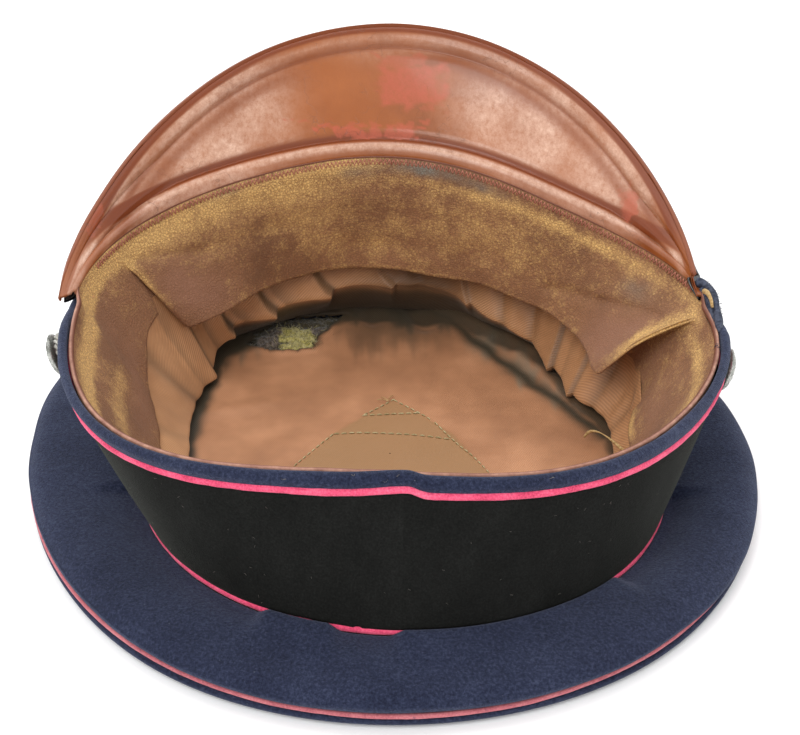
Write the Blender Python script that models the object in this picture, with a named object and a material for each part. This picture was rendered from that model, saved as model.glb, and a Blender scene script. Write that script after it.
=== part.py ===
# Peaked service cap lying upside down on its crown.
# Metres, +Z up, +Y toward the peak, +X to the right of someone looking at the back of the cap.
# The origin is the middle of the crown's flat face, which rests on the ground.
import math

import bmesh
import bpy
from mathutils import Vector

# mouth of the cap: the inner top edge of the band
MOUTH_REACH = 0.0953
MOUTH_HEIGHT = 0.0622
MOUTH_FRONT_RISE = 0.0022
MOUTH_END_RISE = 0.0051
SIDE_LEAN = 0.001
# outline as shares of MOUTH_REACH: (waves round the cap, cosine share, sine share)
MOUTH_WAVES = (
    (1, 0.054, -0.018),
    (2, -0.055, 0.010),
    (3, -0.015, -0.011),
    (4, 0.0, 0.006),
    (5, -0.016, 0.015),
)

# joint of band and crown
JOINT_REACH = 0.0907
JOINT_HEIGHT = 0.0135
JOINT_FRONT_RISE = 0.003
JOINT_END_RISE = 0.0041
# outline as shares of JOINT_REACH: (waves round the cap, cosine share, sine share)
JOINT_WAVES = (
    (1, 0.012, 0.027),
    (2, 0.092, 0.012),
    (3, -0.004, -0.010),
)

# crown edge
CROWN_REACH = 0.1182
CROWN_EDGE_HEIGHT = 0.0045
# outline as shares of CROWN_REACH: (waves round the cap, cosine share, sine share)
CROWN_WAVES = (
    (1, 0.006, -0.007),
    (2, 0.041, 0.015),
    (3, 0.003, -0.010),
)
CROWN_CLOTH = 0.0018
CROWN_FLAT_MARGIN = 0.012
SHOULDER_HEIGHT = 0.0122
SHOULDER_BULGE = 0.0018
SHOULDER_LEAST_DROP = 0.002
SIDE_PUFF = 0.0012
CROWN_PIPING_RADIUS = 0.0013

# band
BAND_HEIGHT = 0.050
BAND_STAND_OUT = 0.003
BAND_WALL = 0.0026
BAND_BELLY = 0.0005
STRIP_LAP = 0.0004
STRIP_CLOTH = 0.0018
STRIP_DROP_UNDER_PEAK = 0.0039
RIM_PIPING_DROP = 0.0056
RIM_PIPING_END_RISE = 0.0005
RIM_PIPING_DROP_UNDER_PEAK = 0.0022
RIM_PIPING_RADIUS = 0.0014
JOINT_PIPING_SHARE = 0.99
JOINT_PIPING_RADIUS = 0.0011
PIPING_STAND_OUT = 0.0004
GAP = 0.0003

# peak
PEAK_CENTRE = 0.022
# plan outline of its edge round PEAK_CENTRE: (degrees from straight ahead, reach)
PEAK_EDGE = (
    (-95.0, 0.1042),
    (-90.0, 0.1032),
    (-85.0, 0.1018),
    (-80.0, 0.1002),
    (-70.0, 0.0985),
    (-60.0, 0.0975),
    (-50.0, 0.0970),
    (-40.0, 0.0972),
    (-20.0, 0.0983),
    (0.0, 0.0988),
    (20.0, 0.0992),
    (30.0, 0.0988),
    (40.0, 0.0976),
    (50.0, 0.0963),
    (60.0, 0.0956),
    (70.0, 0.0955),
    (80.0, 0.0966),
    (88.0, 0.0992),
    (95.0, 0.1012),
)
PEAK_BASE_HEIGHT = 0.058
PEAK_CLIMB = 0.43
PEAK_FIRST_TURN = math.radians(102.0)
PEAK_LAST_TURN = math.radians(258.0)
PEAK_SAG = 0.0022
PEAK_FULL_SAG_WIDTH = 0.04
PEAK_NARROW_END = 0.006
PEAK_LINING_THICKNESS = 0.001
PEAK_SHELL_THICKNESS = 0.0015
PEAK_LIP = 0.0011
PEAK_SEAM = 0.0012

# sweatband, its edge bead and the lining
BEAD_RADIUS = 0.0011
BEAD_INSET = 0.0015
BEAD_DROP = 0.0012
LEATHER = 0.0012
LEATHER_TOP_DROP = 0.0029
HEM_REACH = 0.0800
# hem outline as shares of HEM_REACH: (waves round the cap, cosine share, sine share)
HEM_WAVES = (
    (1, 0.0, 0.010),
    (2, 0.075, 0.0),
)
HEM_SIDE_LEVEL = 0.0145
# folds of the leather: (turn in degrees, width in degrees, reach inward, share down where it starts)
FOLDS = (
    (232.0, 13.0, 0.0110, 0.20),
    (118.0, 12.0, 0.0075, 0.30),
)
LINING_CLOTH = 0.001
LINING_TUCK = 0.005
LINING_BAND_CLEARANCE = 0.0016
DISC_HALF_WIDTH = 0.067
DISC_HALF_LENGTH = 0.094
DISC_FORWARD = 0.006
DISC_LEVEL = 0.0062

# buttons and cord
BUTTON_RADIUS = 0.0073
BUTTON_DOME = 0.0032
BUTTON_RIM = 0.0009
BUTTON_SHANK_RADIUS = 0.0018
BUTTON_RIGHT_TURN = math.radians(88.5)
BUTTON_LEFT_TURN = math.radians(268.5)
BUTTON_RIGHT_SHARE = 0.26
BUTTON_LEFT_SHARE = 0.22
BUTTON_LEFT_LIFT = 0.004
CORD_FRONT_SHARE = 0.25
CORD_HALF_TALL = 0.0017
CORD_HALF_DEEP = 0.0013
CORD_END_TURN = math.radians(4.5)
CORD_LIFT_START = 0.9
CORD_STEPS = 56

RING_STEPS = 60

# colours: (red, green, blue), roughness, metallic
WOOL = ((0.019, 0.023, 0.080), 0.92, 0.0)
VELVET = ((0.012, 0.012, 0.011), 0.95, 0.0)
PINK = ((0.82, 0.075, 0.235), 0.85, 0.0)
PEAK_BROWN = ((0.36, 0.118, 0.040), 0.32, 0.0)
PEAK_BLACK = ((0.010, 0.010, 0.011), 0.22, 0.0)
LEATHER_BROWN = ((0.22, 0.105, 0.040), 0.62, 0.0)
BEAD_BROWN = ((0.30, 0.13, 0.075), 0.6, 0.0)
SATIN = ((0.40, 0.205, 0.112), 0.5, 0.0)
SILVER = ((0.55, 0.55, 0.54), 0.35, 0.9)
SILVER_CORD = ((0.58, 0.57, 0.53), 0.5, 0.6)


def material(name, look):
    colour, roughness, metallic = look
    slot = bpy.data.materials.new(name)
    slot.use_nodes = True
    shader = slot.node_tree.nodes["Principled BSDF"]
    shader.inputs["Base Color"].default_value = (*colour, 1.0)
    shader.inputs["Roughness"].default_value = roughness
    shader.inputs["Metallic"].default_value = metallic
    return slot


def add_object(name, points, faces, slot, sharp=40.0):
    mesh = bpy.data.meshes.new(name)
    mesh.from_pydata([tuple(p) for p in points], [], faces)
    body = bmesh.new()
    body.from_mesh(mesh)
    bmesh.ops.recalc_face_normals(body, faces=body.faces)
    body.to_mesh(mesh)
    body.free()
    mesh.shade_smooth()
    mesh.set_sharp_from_angle(angle=math.radians(sharp))
    mesh.materials.append(slot)
    thing = bpy.data.objects.new(name, mesh)
    bpy.context.scene.collection.objects.link(thing)
    return thing


def waved(reach, waves, turn):
    total = 1.0
    for count, cosine, sine in waves:
        total += cosine * math.cos(count * turn) + sine * math.sin(count * turn)
    return reach * total


def in_space(turn, reach, height):
    # turn 0 is the back of the cap, a quarter turn the right side, a half turn the front
    return Vector((reach * math.sin(turn), -reach * math.cos(turn), height))


def read_smoothly(table, place):
    # amount at a place in a table of (place, amount), eased from row to row
    last = len(table) - 2
    row = 0
    while row < last and table[row + 1][0] < place:
        row += 1
    (here, amount), (there, following) = table[row], table[row + 1]
    before, after = table[max(0, row - 1)], table[min(last + 1, row + 2)]
    span = there - here
    share = min(1.0, max(0.0, (place - here) / span))
    slope = (following - before[1]) / (there - before[0]) * span
    next_slope = (after[1] - amount) / (after[0] - here) * span
    square, cube = share * share, share ** 3
    return ((2 * cube - 3 * square + 1) * amount + (cube - 2 * square + share) * slope
            + (3 * square - 2 * cube) * following + (cube - square) * next_slope)


def mouth(turn):
    # (reach, height) of the inner top edge
    level = MOUTH_HEIGHT - MOUTH_FRONT_RISE * math.cos(turn) + MOUTH_END_RISE * math.cos(2 * turn)
    return waved(MOUTH_REACH, MOUTH_WAVES, turn), level - SIDE_LEAN * math.sin(turn)


def joint(turn):
    level = JOINT_HEIGHT - JOINT_FRONT_RISE * math.cos(turn) + JOINT_END_RISE * math.cos(2 * turn)
    return waved(JOINT_REACH, JOINT_WAVES, turn), level - SIDE_LEAN * math.sin(turn)


def crown_edge(turn):
    return waved(CROWN_REACH, CROWN_WAVES, turn), CROWN_EDGE_HEIGHT


def under_peak(turn):
    # 1 along the front, where the peak is sewn on, 0 round the back
    middle = 0.5 * (PEAK_FIRST_TURN + PEAK_LAST_TURN)
    away = abs(turn - middle) - 0.5 * (PEAK_LAST_TURN - PEAK_FIRST_TURN)
    return min(1.0, max(0.0, 1.3 - away / math.radians(10.0)))


def on_band(turn, share, out=0.0):
    # point on the band's outer face: share 0 at the mouth, 1 at the crown; out stands off the face
    top_reach, top_height = mouth(turn)
    low_reach, low_height = joint(turn)
    top_reach += BAND_STAND_OUT
    run, rise = low_reach - top_reach, low_height - top_height
    length = math.hypot(run, rise)
    normal = (-rise / length, run / length)
    reach = top_reach + run * share + normal[0] * out
    return reach, top_height + rise * share + normal[1] * out


def rim_piping_share(turn):
    # the piping runs nearer the edge at the back and the front than at the sides
    drop = RIM_PIPING_DROP - RIM_PIPING_END_RISE * math.cos(2 * turn)
    return (drop + RIM_PIPING_DROP_UNDER_PEAK * under_peak(turn)) / BAND_HEIGHT


def ring(name, section, slot, sharp=40.0):
    # one closed section carried round the cap
    points, faces = [], []
    for step in range(RING_STEPS):
        turn = 2.0 * math.pi * step / RING_STEPS
        loop = section(turn)
        count = len(loop)
        points += [in_space(turn, reach, height) for reach, height in loop]
        following = (step + 1) % RING_STEPS
        for i in range(count):
            j = (i + 1) % count
            faces.append((step * count + i, following * count + i, following * count + j, step * count + j))
    return add_object(name, points, faces, slot, sharp)


def disc(name, section, slot, centre_levels, forward=0.0):
    # section lists (reach, height) from near the middle on the under side, out and back on the upper side
    points, faces = [], []
    for step in range(RING_STEPS):
        turn = 2.0 * math.pi * step / RING_STEPS
        loop = section(turn)
        count = len(loop)
        for reach, height in loop:
            point = in_space(turn, reach, height)
            point.y += forward
            points.append(point)
        following = (step + 1) % RING_STEPS
        for i in range(count - 1):
            faces.append((step * count + i, following * count + i,
                          following * count + i + 1, step * count + i + 1))
    low, high = len(points), len(points) + 1
    points += [Vector((0.0, forward, centre_levels[0])), Vector((0.0, forward, centre_levels[1]))]
    for step in range(RING_STEPS):
        following = (step + 1) % RING_STEPS
        faces.append((low, following * count, step * count))
        faces.append((high, step * count + count - 1, following * count + count - 1))
    return add_object(name, points, faces, slot)


def round_section(centre, radius, sides=6):
    turns = [2.0 * math.pi * (i + 0.5) / sides for i in range(sides)]
    return [(centre[0] + radius * math.cos(a), centre[1] + radius * math.sin(a)) for a in turns]


def make_crown_top(slot):
    def section(turn):
        edge, level = crown_edge(turn)
        rim = edge - CROWN_PIPING_RADIUS - GAP
        flat = edge - CROWN_FLAT_MARGIN
        turned = rim - 0.3 * CROWN_FLAT_MARGIN
        lip = level - CROWN_CLOTH
        return [
            (0.5 * flat, 0.0),
            (flat, 0.0),
            (turned, 0.25 * lip),
            (rim, lip),
            (rim - 0.4 * CROWN_CLOTH, lip + CROWN_CLOTH),
            (turned - 0.5 * CROWN_CLOTH, 0.25 * lip + CROWN_CLOTH),
            (flat, CROWN_CLOTH),
            (0.5 * flat, CROWN_CLOTH),
        ]
    return disc("crown_top", section, slot, (0.0, CROWN_CLOTH))


def make_crown_piping(slot):
    return ring("crown_piping", lambda turn: round_section(crown_edge(turn), CROWN_PIPING_RADIUS), slot)


def make_crown_side(slot):
    def section(turn):
        edge, level = crown_edge(turn)
        seam = level + CROWN_PIPING_RADIUS + GAP
        start, height = joint(turn)
        top = height - 0.6 * JOINT_PIPING_RADIUS - GAP
        span = edge - start
        shoulder = max(SHOULDER_HEIGHT, top - SHOULDER_LEAST_DROP)
        outer = [
            (start, top),
            (start + 0.35 * span, 0.6 * top + 0.4 * shoulder + SIDE_PUFF),
            (start + 0.72 * span, shoulder + 0.5 * SIDE_PUFF),
            (edge - 0.10 * span, shoulder - 0.8 * SIDE_PUFF),
            (edge + SHOULDER_BULGE, 0.5 * (shoulder + seam) + 0.3 * SIDE_PUFF),
            (edge + 0.2 * SHOULDER_BULGE, seam),
        ]
        inner = [
            (edge - CROWN_CLOTH, seam + 0.1 * CROWN_CLOTH),
            (edge + SHOULDER_BULGE - CROWN_CLOTH, 0.5 * (shoulder + seam)),
            (edge - 0.10 * span - 0.5 * CROWN_CLOTH, shoulder - 0.5 * SIDE_PUFF - CROWN_CLOTH),
            (start + 0.72 * span, shoulder + 0.5 * SIDE_PUFF - CROWN_CLOTH),
            (start + 0.35 * span, 0.6 * top + 0.4 * shoulder + SIDE_PUFF - CROWN_CLOTH),
            (start, top - CROWN_CLOTH),
        ]
        return outer + inner
    return ring("crown_side", section, slot)


def make_joint_piping(slot):
    def section(turn):
        centre = on_band(turn, JOINT_PIPING_SHARE, PIPING_STAND_OUT - JOINT_PIPING_RADIUS)
        return round_section(centre, JOINT_PIPING_RADIUS)
    return ring("joint_piping", section, slot)


def make_band(slot):
    def section(turn):
        first = rim_piping_share(turn) + (RIM_PIPING_RADIUS + GAP) / BAND_HEIGHT
        last = JOINT_PIPING_SHARE - (JOINT_PIPING_RADIUS + GAP) / BAND_HEIGHT
        middle = 0.5 * (first + last)
        return [
            on_band(turn, first),
            on_band(turn, middle, BAND_BELLY),
            on_band(turn, last),
            on_band(turn, last, -BAND_WALL),
            on_band(turn, middle, BAND_BELLY - BAND_WALL),
            on_band(turn, first, -BAND_WALL),
        ]
    return ring("band", section, slot)


def make_rim_piping(slot):
    def section(turn):
        centre = on_band(turn, rim_piping_share(turn), PIPING_STAND_OUT - 0.5 * RIM_PIPING_RADIUS)
        return round_section(centre, RIM_PIPING_RADIUS)
    return ring("rim_piping", section, slot)


def make_rim_strip(slot):
    def section(turn):
        reach, level = mouth(turn)
        drop = STRIP_DROP_UNDER_PEAK * under_peak(turn)
        fold = 0.5 * STRIP_CLOTH
        low = rim_piping_share(turn) - (RIM_PIPING_RADIUS + GAP) / BAND_HEIGHT
        wall = BAND_WALL - STRIP_LAP
        outer_top = on_band(turn, 0.0, STRIP_LAP)
        return [
            (reach + 0.3 * fold, level - fold - drop),
            (reach + fold, level - drop),
            (outer_top[0] - fold, level - drop),
            (outer_top[0], level - fold - drop),
            on_band(turn, low, STRIP_LAP),
            on_band(turn, low, STRIP_LAP - wall),
        ]
    return ring("rim_strip", section, slot)


def peak_edge(angle):
    reach = read_smoothly(PEAK_EDGE, math.degrees(angle))
    forward = reach * math.cos(angle)
    return Vector((reach * math.sin(angle), PEAK_CENTRE + forward, PEAK_BASE_HEIGHT + PEAK_CLIMB * forward))


def peak_line(turn):
    # root point on the mouth, edge point, and the direction off the outer side
    reach, level = mouth(turn)
    root = in_space(turn, reach + PEAK_SEAM, level)
    angle = math.atan2(root.x, root.y - PEAK_CENTRE)
    edge = peak_edge(angle)
    along = edge - root
    across = Vector((math.cos(angle), -math.sin(angle), 0.0))
    away = across.cross(along).normalized()
    if away.z > 0.0:
        away = -away
    return root, along, away


def make_peak_sheet(name, rows, slot):
    # rows: (share from root to edge, distance back from there, depth off the under side), a closed loop
    steps = 44
    points, faces = [], []
    count = len(rows)
    for step in range(steps + 1):
        turn = PEAK_FIRST_TURN + (PEAK_LAST_TURN - PEAK_FIRST_TURN) * step / steps
        root, along, away = peak_line(turn)
        width = along.length
        for share, back, depth in rows:
            sag = PEAK_SAG * 4.0 * share * (1.0 - share) * min(1.0, width / PEAK_FULL_SAG_WIDTH)
            points.append(root + along * (share - back / max(width, PEAK_NARROW_END)) + away * (depth + sag))
    for step in range(steps):
        for i in range(count):
            j = (i + 1) % count
            faces.append((step * count + i, (step + 1) * count + i, (step + 1) * count + j, step * count + j))
    faces.append(tuple(range(count)))
    faces.append(tuple(steps * count + i for i in reversed(range(count))))
    return add_object(name, points, faces, slot, 50.0)


def make_peak(shell_slot, lining_slot):
    thin = PEAK_LINING_THICKNESS
    inner = thin + 1.5 * GAP
    outer = inner + PEAK_SHELL_THICKNESS
    stop = PEAK_LIP + 1.5 * GAP
    make_peak_sheet("peak_lining", [
        (0.0, 0.0, 0.0), (0.33, 0.0, 0.0), (0.66, 0.0, 0.0), (1.0, stop, 0.0),
        (1.0, stop, thin), (0.66, 0.0, thin), (0.33, 0.0, thin), (0.0, 0.0, thin),
    ], lining_slot)
    make_peak_sheet("peak", [
        (0.0, 0.0, inner), (0.33, 0.0, inner), (0.66, 0.0, inner), (1.0, PEAK_LIP, inner),
        (1.0, PEAK_LIP, 0.0), (1.0, 0.0, 0.0), (1.0, 0.0, outer),
        (0.66, 0.0, outer), (0.33, 0.0, outer), (0.0, 0.0, outer),
    ], shell_slot)


def hem(turn):
    # lower edge of the leather sweatband
    reach = waved(HEM_REACH, HEM_WAVES, turn)
    level = HEM_SIDE_LEVEL + (mouth(turn)[1] - mouth(0.5 * math.pi)[1]) * 0.9
    return reach, level


def fold_depth(turn, down):
    total = 0.0
    for middle, width, depth, start in FOLDS:
        away = (math.degrees(turn) - middle) / width
        total += depth * math.exp(-away * away) * max(0.0, down - start) / (1.0 - start)
    return total


def leather_line(turn, down, out=0.0):
    reach, level = mouth(turn)
    top = (reach - BEAD_INSET - GAP, level - LEATHER_TOP_DROP)
    low = hem(turn)
    here = top[0] + (low[0] - top[0]) * down - fold_depth(turn, down) + out
    return here, top[1] + (low[1] - top[1]) * down


def make_sweatband(slot):
    def section(turn):
        half = 0.5 * LEATHER
        down = (0.0, 0.35, 0.7, 1.0)
        face = [leather_line(turn, d, -half) for d in down]
        back = [leather_line(turn, d, half) for d in reversed(down)]
        return face + back
    return ring("sweatband", section, slot)


def make_bead(slot):
    def section(turn):
        reach, level = mouth(turn)
        return round_section((reach - BEAD_INSET, level - BEAD_DROP), BEAD_RADIUS)
    return ring("sweatband_bead", section, slot)


def disc_reach(turn):
    # distance from the cap's axis to the seam of the crown lining
    a, b, shift = DISC_HALF_WIDTH, DISC_HALF_LENGTH, DISC_FORWARD
    x, y = math.sin(turn), -math.cos(turn)
    p = (x / a) ** 2 + (y / b) ** 2
    q = y * shift / b ** 2
    return (q + math.sqrt(q * q - p * ((shift / b) ** 2 - 1.0))) / p


def make_lining_side(slot):
    def section(turn):
        low_level = hem(turn)[1]
        down = 1.0 - LINING_TUCK / (mouth(turn)[1] - low_level)
        leather_back = leather_line(turn, down, 0.5 * LEATHER)
        sewn_on = leather_back[0] + fold_depth(turn, down) + GAP + 0.5 * LINING_CLOTH
        top = (sewn_on, leather_back[1])
        seam = disc_reach(turn) + 1.3 * GAP
        foot = (seam + LINING_CLOTH, DISC_LEVEL + 1.3 * GAP)
        neck_reach = min(top[0], joint(turn)[0] - BAND_WALL - LINING_BAND_CLEARANCE)
        neck = (0.75 * neck_reach + 0.25 * min(foot[0], neck_reach), 0.45 * top[1] + 0.55 * foot[1])
        half = 0.5 * LINING_CLOTH
        line = [top, neck, foot]
        face = [(r - half, z) for r, z in line]
        back = [(r + half, z) for r, z in reversed(line)]
        return face + back
    return ring("lining_side", section, slot)


def make_lining_top(slot):
    def section(turn):
        # measured from the middle of the disc, which sits DISC_FORWARD of the axis
        reach = 1.0 / math.hypot(math.sin(turn) / DISC_HALF_WIDTH, math.cos(turn) / DISC_HALF_LENGTH)
        return [
            (0.6 * reach, DISC_LEVEL - LINING_CLOTH),
            (reach, DISC_LEVEL - LINING_CLOTH),
            (reach, DISC_LEVEL),
            (0.6 * reach, DISC_LEVEL),
        ]
    return disc("lining_top", section, slot, (DISC_LEVEL - LINING_CLOTH, DISC_LEVEL), DISC_FORWARD)


def frame_on_band(turn, share):
    # origin on the band's face, outward direction, and the direction up the band
    centre = in_space(turn, *on_band(turn, share))
    outward = (in_space(turn, *on_band(turn, share, 0.01)) - centre).normalized()
    upward = (in_space(turn, *on_band(turn, share - 0.1)) - centre).normalized()
    return centre, outward, upward


def make_button(name, turn, share, lift, slot):
    centre, outward, upward = frame_on_band(turn, share)
    side = outward.cross(upward)
    back = 2.0 * CORD_HALF_DEEP + 2.5 * GAP + lift
    # (distance off the band, radius) from the shank's end to the top of the dome
    profile = [
        (GAP, BUTTON_SHANK_RADIUS),
        (back, BUTTON_SHANK_RADIUS),
        (back, 0.93 * BUTTON_RADIUS),
        (back + BUTTON_RIM, BUTTON_RADIUS),
        (back + 0.62 * BUTTON_DOME, 0.86 * BUTTON_RADIUS),
        (back + 0.85 * BUTTON_DOME, 0.52 * BUTTON_RADIUS),
    ]
    sides = 20
    points, faces = [], []
    for off, radius in profile:
        for i in range(sides):
            a = 2.0 * math.pi * i / sides
            points.append(centre + outward * off + (upward * math.cos(a) + side * math.sin(a)) * radius)
    for row in range(len(profile) - 1):
        for i in range(sides):
            j = (i + 1) % sides
            faces.append((row * sides + i, row * sides + j, (row + 1) * sides + j, (row + 1) * sides + i))
    first, last = len(points), len(points) + 1
    points += [centre + outward * GAP, centre + outward * (back + BUTTON_DOME)]
    top = (len(profile) - 1) * sides
    for i in range(sides):
        j = (i + 1) % sides
        faces.append((first, j, i))
        faces.append((last, top + i, top + j))
    return add_object(name, points, faces, slot, 55.0)


def make_chin_cord(slot):
    # lies on the velvet in front of the peak's root and lifts off it beside the left button
    start = BUTTON_RIGHT_TURN + CORD_END_TURN
    end = BUTTON_LEFT_TURN - CORD_END_TURN
    sides = 6
    points, faces = [], []
    for step in range(CORD_STEPS + 1):
        part = step / CORD_STEPS
        turn = start + (end - start) * part
        ease = math.sin(math.pi * part) ** 0.5 if 0.0 < part < 1.0 else 0.0
        end_share = BUTTON_RIGHT_SHARE + (BUTTON_LEFT_SHARE - BUTTON_RIGHT_SHARE) * part
        share = end_share + (CORD_FRONT_SHARE - end_share) * ease
        lift = BUTTON_LEFT_LIFT * (max(0.0, part - CORD_LIFT_START) / (1.0 - CORD_LIFT_START)) ** 2
        centre, outward, upward = frame_on_band(turn, share)
        centre = centre + outward * (CORD_HALF_DEEP + 2.0 * GAP + lift)
        for i in range(sides):
            a = 2.0 * math.pi * i / sides
            points.append(centre + outward * CORD_HALF_DEEP * math.cos(a) + upward * CORD_HALF_TALL * math.sin(a))
    for step in range(CORD_STEPS):
        for i in range(sides):
            j = (i + 1) % sides
            faces.append((step * sides + i, (step + 1) * sides + i, (step + 1) * sides + j, step * sides + j))
    faces.append(tuple(range(sides)))
    faces.append(tuple(CORD_STEPS * sides + i for i in reversed(range(sides))))
    return add_object("chin_cord", points, faces, slot, 50.0)


def main():
    for thing in list(bpy.data.objects):
        bpy.data.objects.remove(thing, do_unlink=True)
    wool = material("navy_wool", WOOL)
    velvet = material("black_velvet", VELVET)
    pink = material("pink_piping", PINK)
    satin = material("tan_lining", SATIN)
    silver = material("button_metal", SILVER)
    make_crown_top(wool)
    make_crown_side(wool)
    make_crown_piping(pink)
    make_joint_piping(pink)
    make_band(velvet)
    make_rim_piping(pink)
    make_rim_strip(wool)
    make_peak(material("black_lacquer", PEAK_BLACK), material("brown_lacquer", PEAK_BROWN))
    make_sweatband(material("brown_leather", LEATHER_BROWN))
    make_bead(material("bead_leather", BEAD_BROWN))
    make_lining_side(satin)
    make_lining_top(satin)
    make_button("button_right", BUTTON_RIGHT_TURN, BUTTON_RIGHT_SHARE, 0.0, silver)
    make_button("button_left", BUTTON_LEFT_TURN, BUTTON_LEFT_SHARE, BUTTON_LEFT_LIFT, silver)
    make_chin_cord(material("silver_cord", SILVER_CORD))


main()
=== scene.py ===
import math
import random

import bpy
from mathutils import Matrix, Vector, noise


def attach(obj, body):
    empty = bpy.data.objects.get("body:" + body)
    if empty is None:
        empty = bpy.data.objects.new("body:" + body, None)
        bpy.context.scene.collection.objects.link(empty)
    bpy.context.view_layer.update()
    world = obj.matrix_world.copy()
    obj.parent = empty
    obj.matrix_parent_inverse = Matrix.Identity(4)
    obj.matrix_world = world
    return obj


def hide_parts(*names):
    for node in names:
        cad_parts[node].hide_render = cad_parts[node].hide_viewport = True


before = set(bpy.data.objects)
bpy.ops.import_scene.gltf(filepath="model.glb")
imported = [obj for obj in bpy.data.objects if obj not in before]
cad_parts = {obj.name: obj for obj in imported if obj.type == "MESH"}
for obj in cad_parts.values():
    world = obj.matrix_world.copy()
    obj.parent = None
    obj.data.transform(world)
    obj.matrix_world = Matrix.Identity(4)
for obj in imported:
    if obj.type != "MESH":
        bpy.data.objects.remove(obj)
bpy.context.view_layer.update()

# The cap lies on its crown. turn 0 is the back, a quarter turn its right side, a half turn the peak.
# Sizes are metres; the tables that give turns use degrees and those that give places use millimetres.
mm = 0.001
tau = 2.0 * math.pi


# small tools for shapes

def smooth(low, high, value):
    x = min(1.0, max(0.0, (value - low) / (high - low)))
    return x * x * (3.0 - 2.0 * x)


def mix(a, b, share):
    return a + (b - a) * share


def bump(value, middle, width):
    x = (value - middle) / width
    return math.exp(-x * x)


def degreesApart(a, b):
    # shortest way from b to a, in degrees
    return (a - b + 180.0) % 360.0 - 180.0


def toStretch(x, y, x0, y0, x1, y1):
    # distance from x, y to the straight stretch between two points
    px, py, dx, dy = x - x0, y - y0, x1 - x0, y1 - y0
    f = max(0.0, min(1.0, (px * dx + py * dy) / (dx * dx + dy * dy)))
    return math.hypot(px - dx * f, py - dy * f)


def toLine(line, x, y):
    return min(toStretch(x, y, *a, *b) for a, b in zip(line, line[1:]))


def rough(point, size, seed=0.0):
    # smooth noise from -1 to 1 with lumps of the given size
    return noise.noise(Vector(point) / size + Vector((seed, 3.1 * seed, -1.7 * seed)))


def waved(reach, waves, turn):
    total = 1.0
    for count, cosine, sine in waves:
        total += cosine * math.cos(count * turn) + sine * math.sin(count * turn)
    return reach * total


def inSpace(turn, reach, height):
    return Vector((reach * math.sin(turn), -reach * math.cos(turn), height))


def curveThrough(points, count):
    # even samples of a smooth curve through a few points of any dimension
    points = [Vector(p) for p in points]
    ends = [2 * points[0] - points[1]] + points + [2 * points[-1] - points[-2]]
    found = []
    for k in range(count):
        where = k / (count - 1) * (len(points) - 1)
        i = min(int(where), len(points) - 2)
        f = where - i
        a, b, c, d = ends[i:i + 4]
        found.append(0.5 * (2 * b + (c - a) * f + (2 * a - 5 * b + 4 * c - d) * f * f
                            + (3 * b - a - 3 * c + d) * f ** 3))
    return found


def readTable(table, value, period=None):
    # smooth reading of a table of (place, amount); with a period it closes on itself
    if period:
        roundBefore = [(p - period, a) for p, a in table[-2:]]
        roundAfter = [(p + period, a) for p, a in table[:2]]
        table = roundBefore + list(table) + roundAfter
        value = value % period
    places = [p for p, _ in table]
    if value <= places[0]:
        return table[0][1]
    if value >= places[-1]:
        return table[-1][1]
    i = max(k for k in range(len(table) - 1) if places[k] <= value)
    p0, a0 = table[i]
    p1, a1 = table[i + 1]
    before = table[max(0, i - 1)]
    after = table[min(len(table) - 1, i + 2)]
    slope0 = (a1 - before[1]) / max(1e-9, p1 - before[0])
    slope1 = (after[1] - a0) / max(1e-9, after[0] - p0)
    span = p1 - p0
    f = (value - p0) / span
    return ((2 * f ** 3 - 3 * f ** 2 + 1) * a0 + (f ** 3 - 2 * f ** 2 + f) * span * slope0
            + (-2 * f ** 3 + 3 * f ** 2) * a1 + (f ** 3 - f ** 2) * span * slope1)


# small tools for meshes

def dress(piece, nodes=()):
    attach(piece, "root")
    if nodes:
        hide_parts(*nodes)
    return piece


def newPiece(name, points, faces, finish, nodes=(), uvs=None, masks=None):
    mesh = bpy.data.meshes.new(name)
    mesh.from_pydata([tuple(p) for p in points], [], faces)
    if uvs:
        layer = mesh.uv_layers.new(name="cloth")
        for loop, uv in zip(layer.data, uvs):
            loop.uv = uv
    for key, values in (masks or {}).items():
        mesh.attributes.new(key, "FLOAT", "POINT").data.foreach_set("value", values)
    mesh.materials.append(finish)
    mesh.shade_smooth()
    piece = bpy.data.objects.new(name, mesh)
    bpy.context.scene.collection.objects.link(piece)
    return dress(piece, nodes)


def gridPiece(name, grid, finish, nodes=(), around=True, across=False, flip=False, masks=None,
              skip=None):
    # grid[step][row] of points; the uv map runs in metres, u round the cap and v along the section
    steps, rows = len(grid), len(grid[0])
    along = [0.0]
    middle = rows // 2
    for k in range(1, steps + 1):
        along.append(along[-1] + (grid[k % steps][middle] - grid[k - 1][middle]).length)
    down = []
    for line in grid:
        lengths = [0.0]
        for i in range(1, rows + 1):
            lengths.append(lengths[-1] + (line[i % rows] - line[i - 1]).length)
        down.append(lengths)
    points = [p for line in grid for p in line]
    faces, uvs = [], []
    for k in range(steps if around else steps - 1):
        n = (k + 1) % steps
        for i in range(rows if across else rows - 1):
            j = (i + 1) % rows
            if skip and skip(k, i):
                continue
            corners = [(k, i, k, i), (n, i, k + 1, i), (n, j, k + 1, i + 1), (k, j, k, i + 1)]
            if flip:
                corners.reverse()
            faces.append([a * rows + b for a, b, _, _ in corners])
            uvs += [(along[u], down[u % steps][v]) for _, _, u, v in corners]
    flat = {key: [v for line in values for v in line] for key, values in (masks or {}).items()}
    return newPiece(name, points, faces, finish, nodes, uvs, flat)


def thicken(piece, thickness):
    layer = piece.modifiers.new("cloth thickness", "SOLIDIFY")
    layer.thickness = thickness
    layer.offset = -1.0
    layer.use_even_offset = False
    return piece


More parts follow.
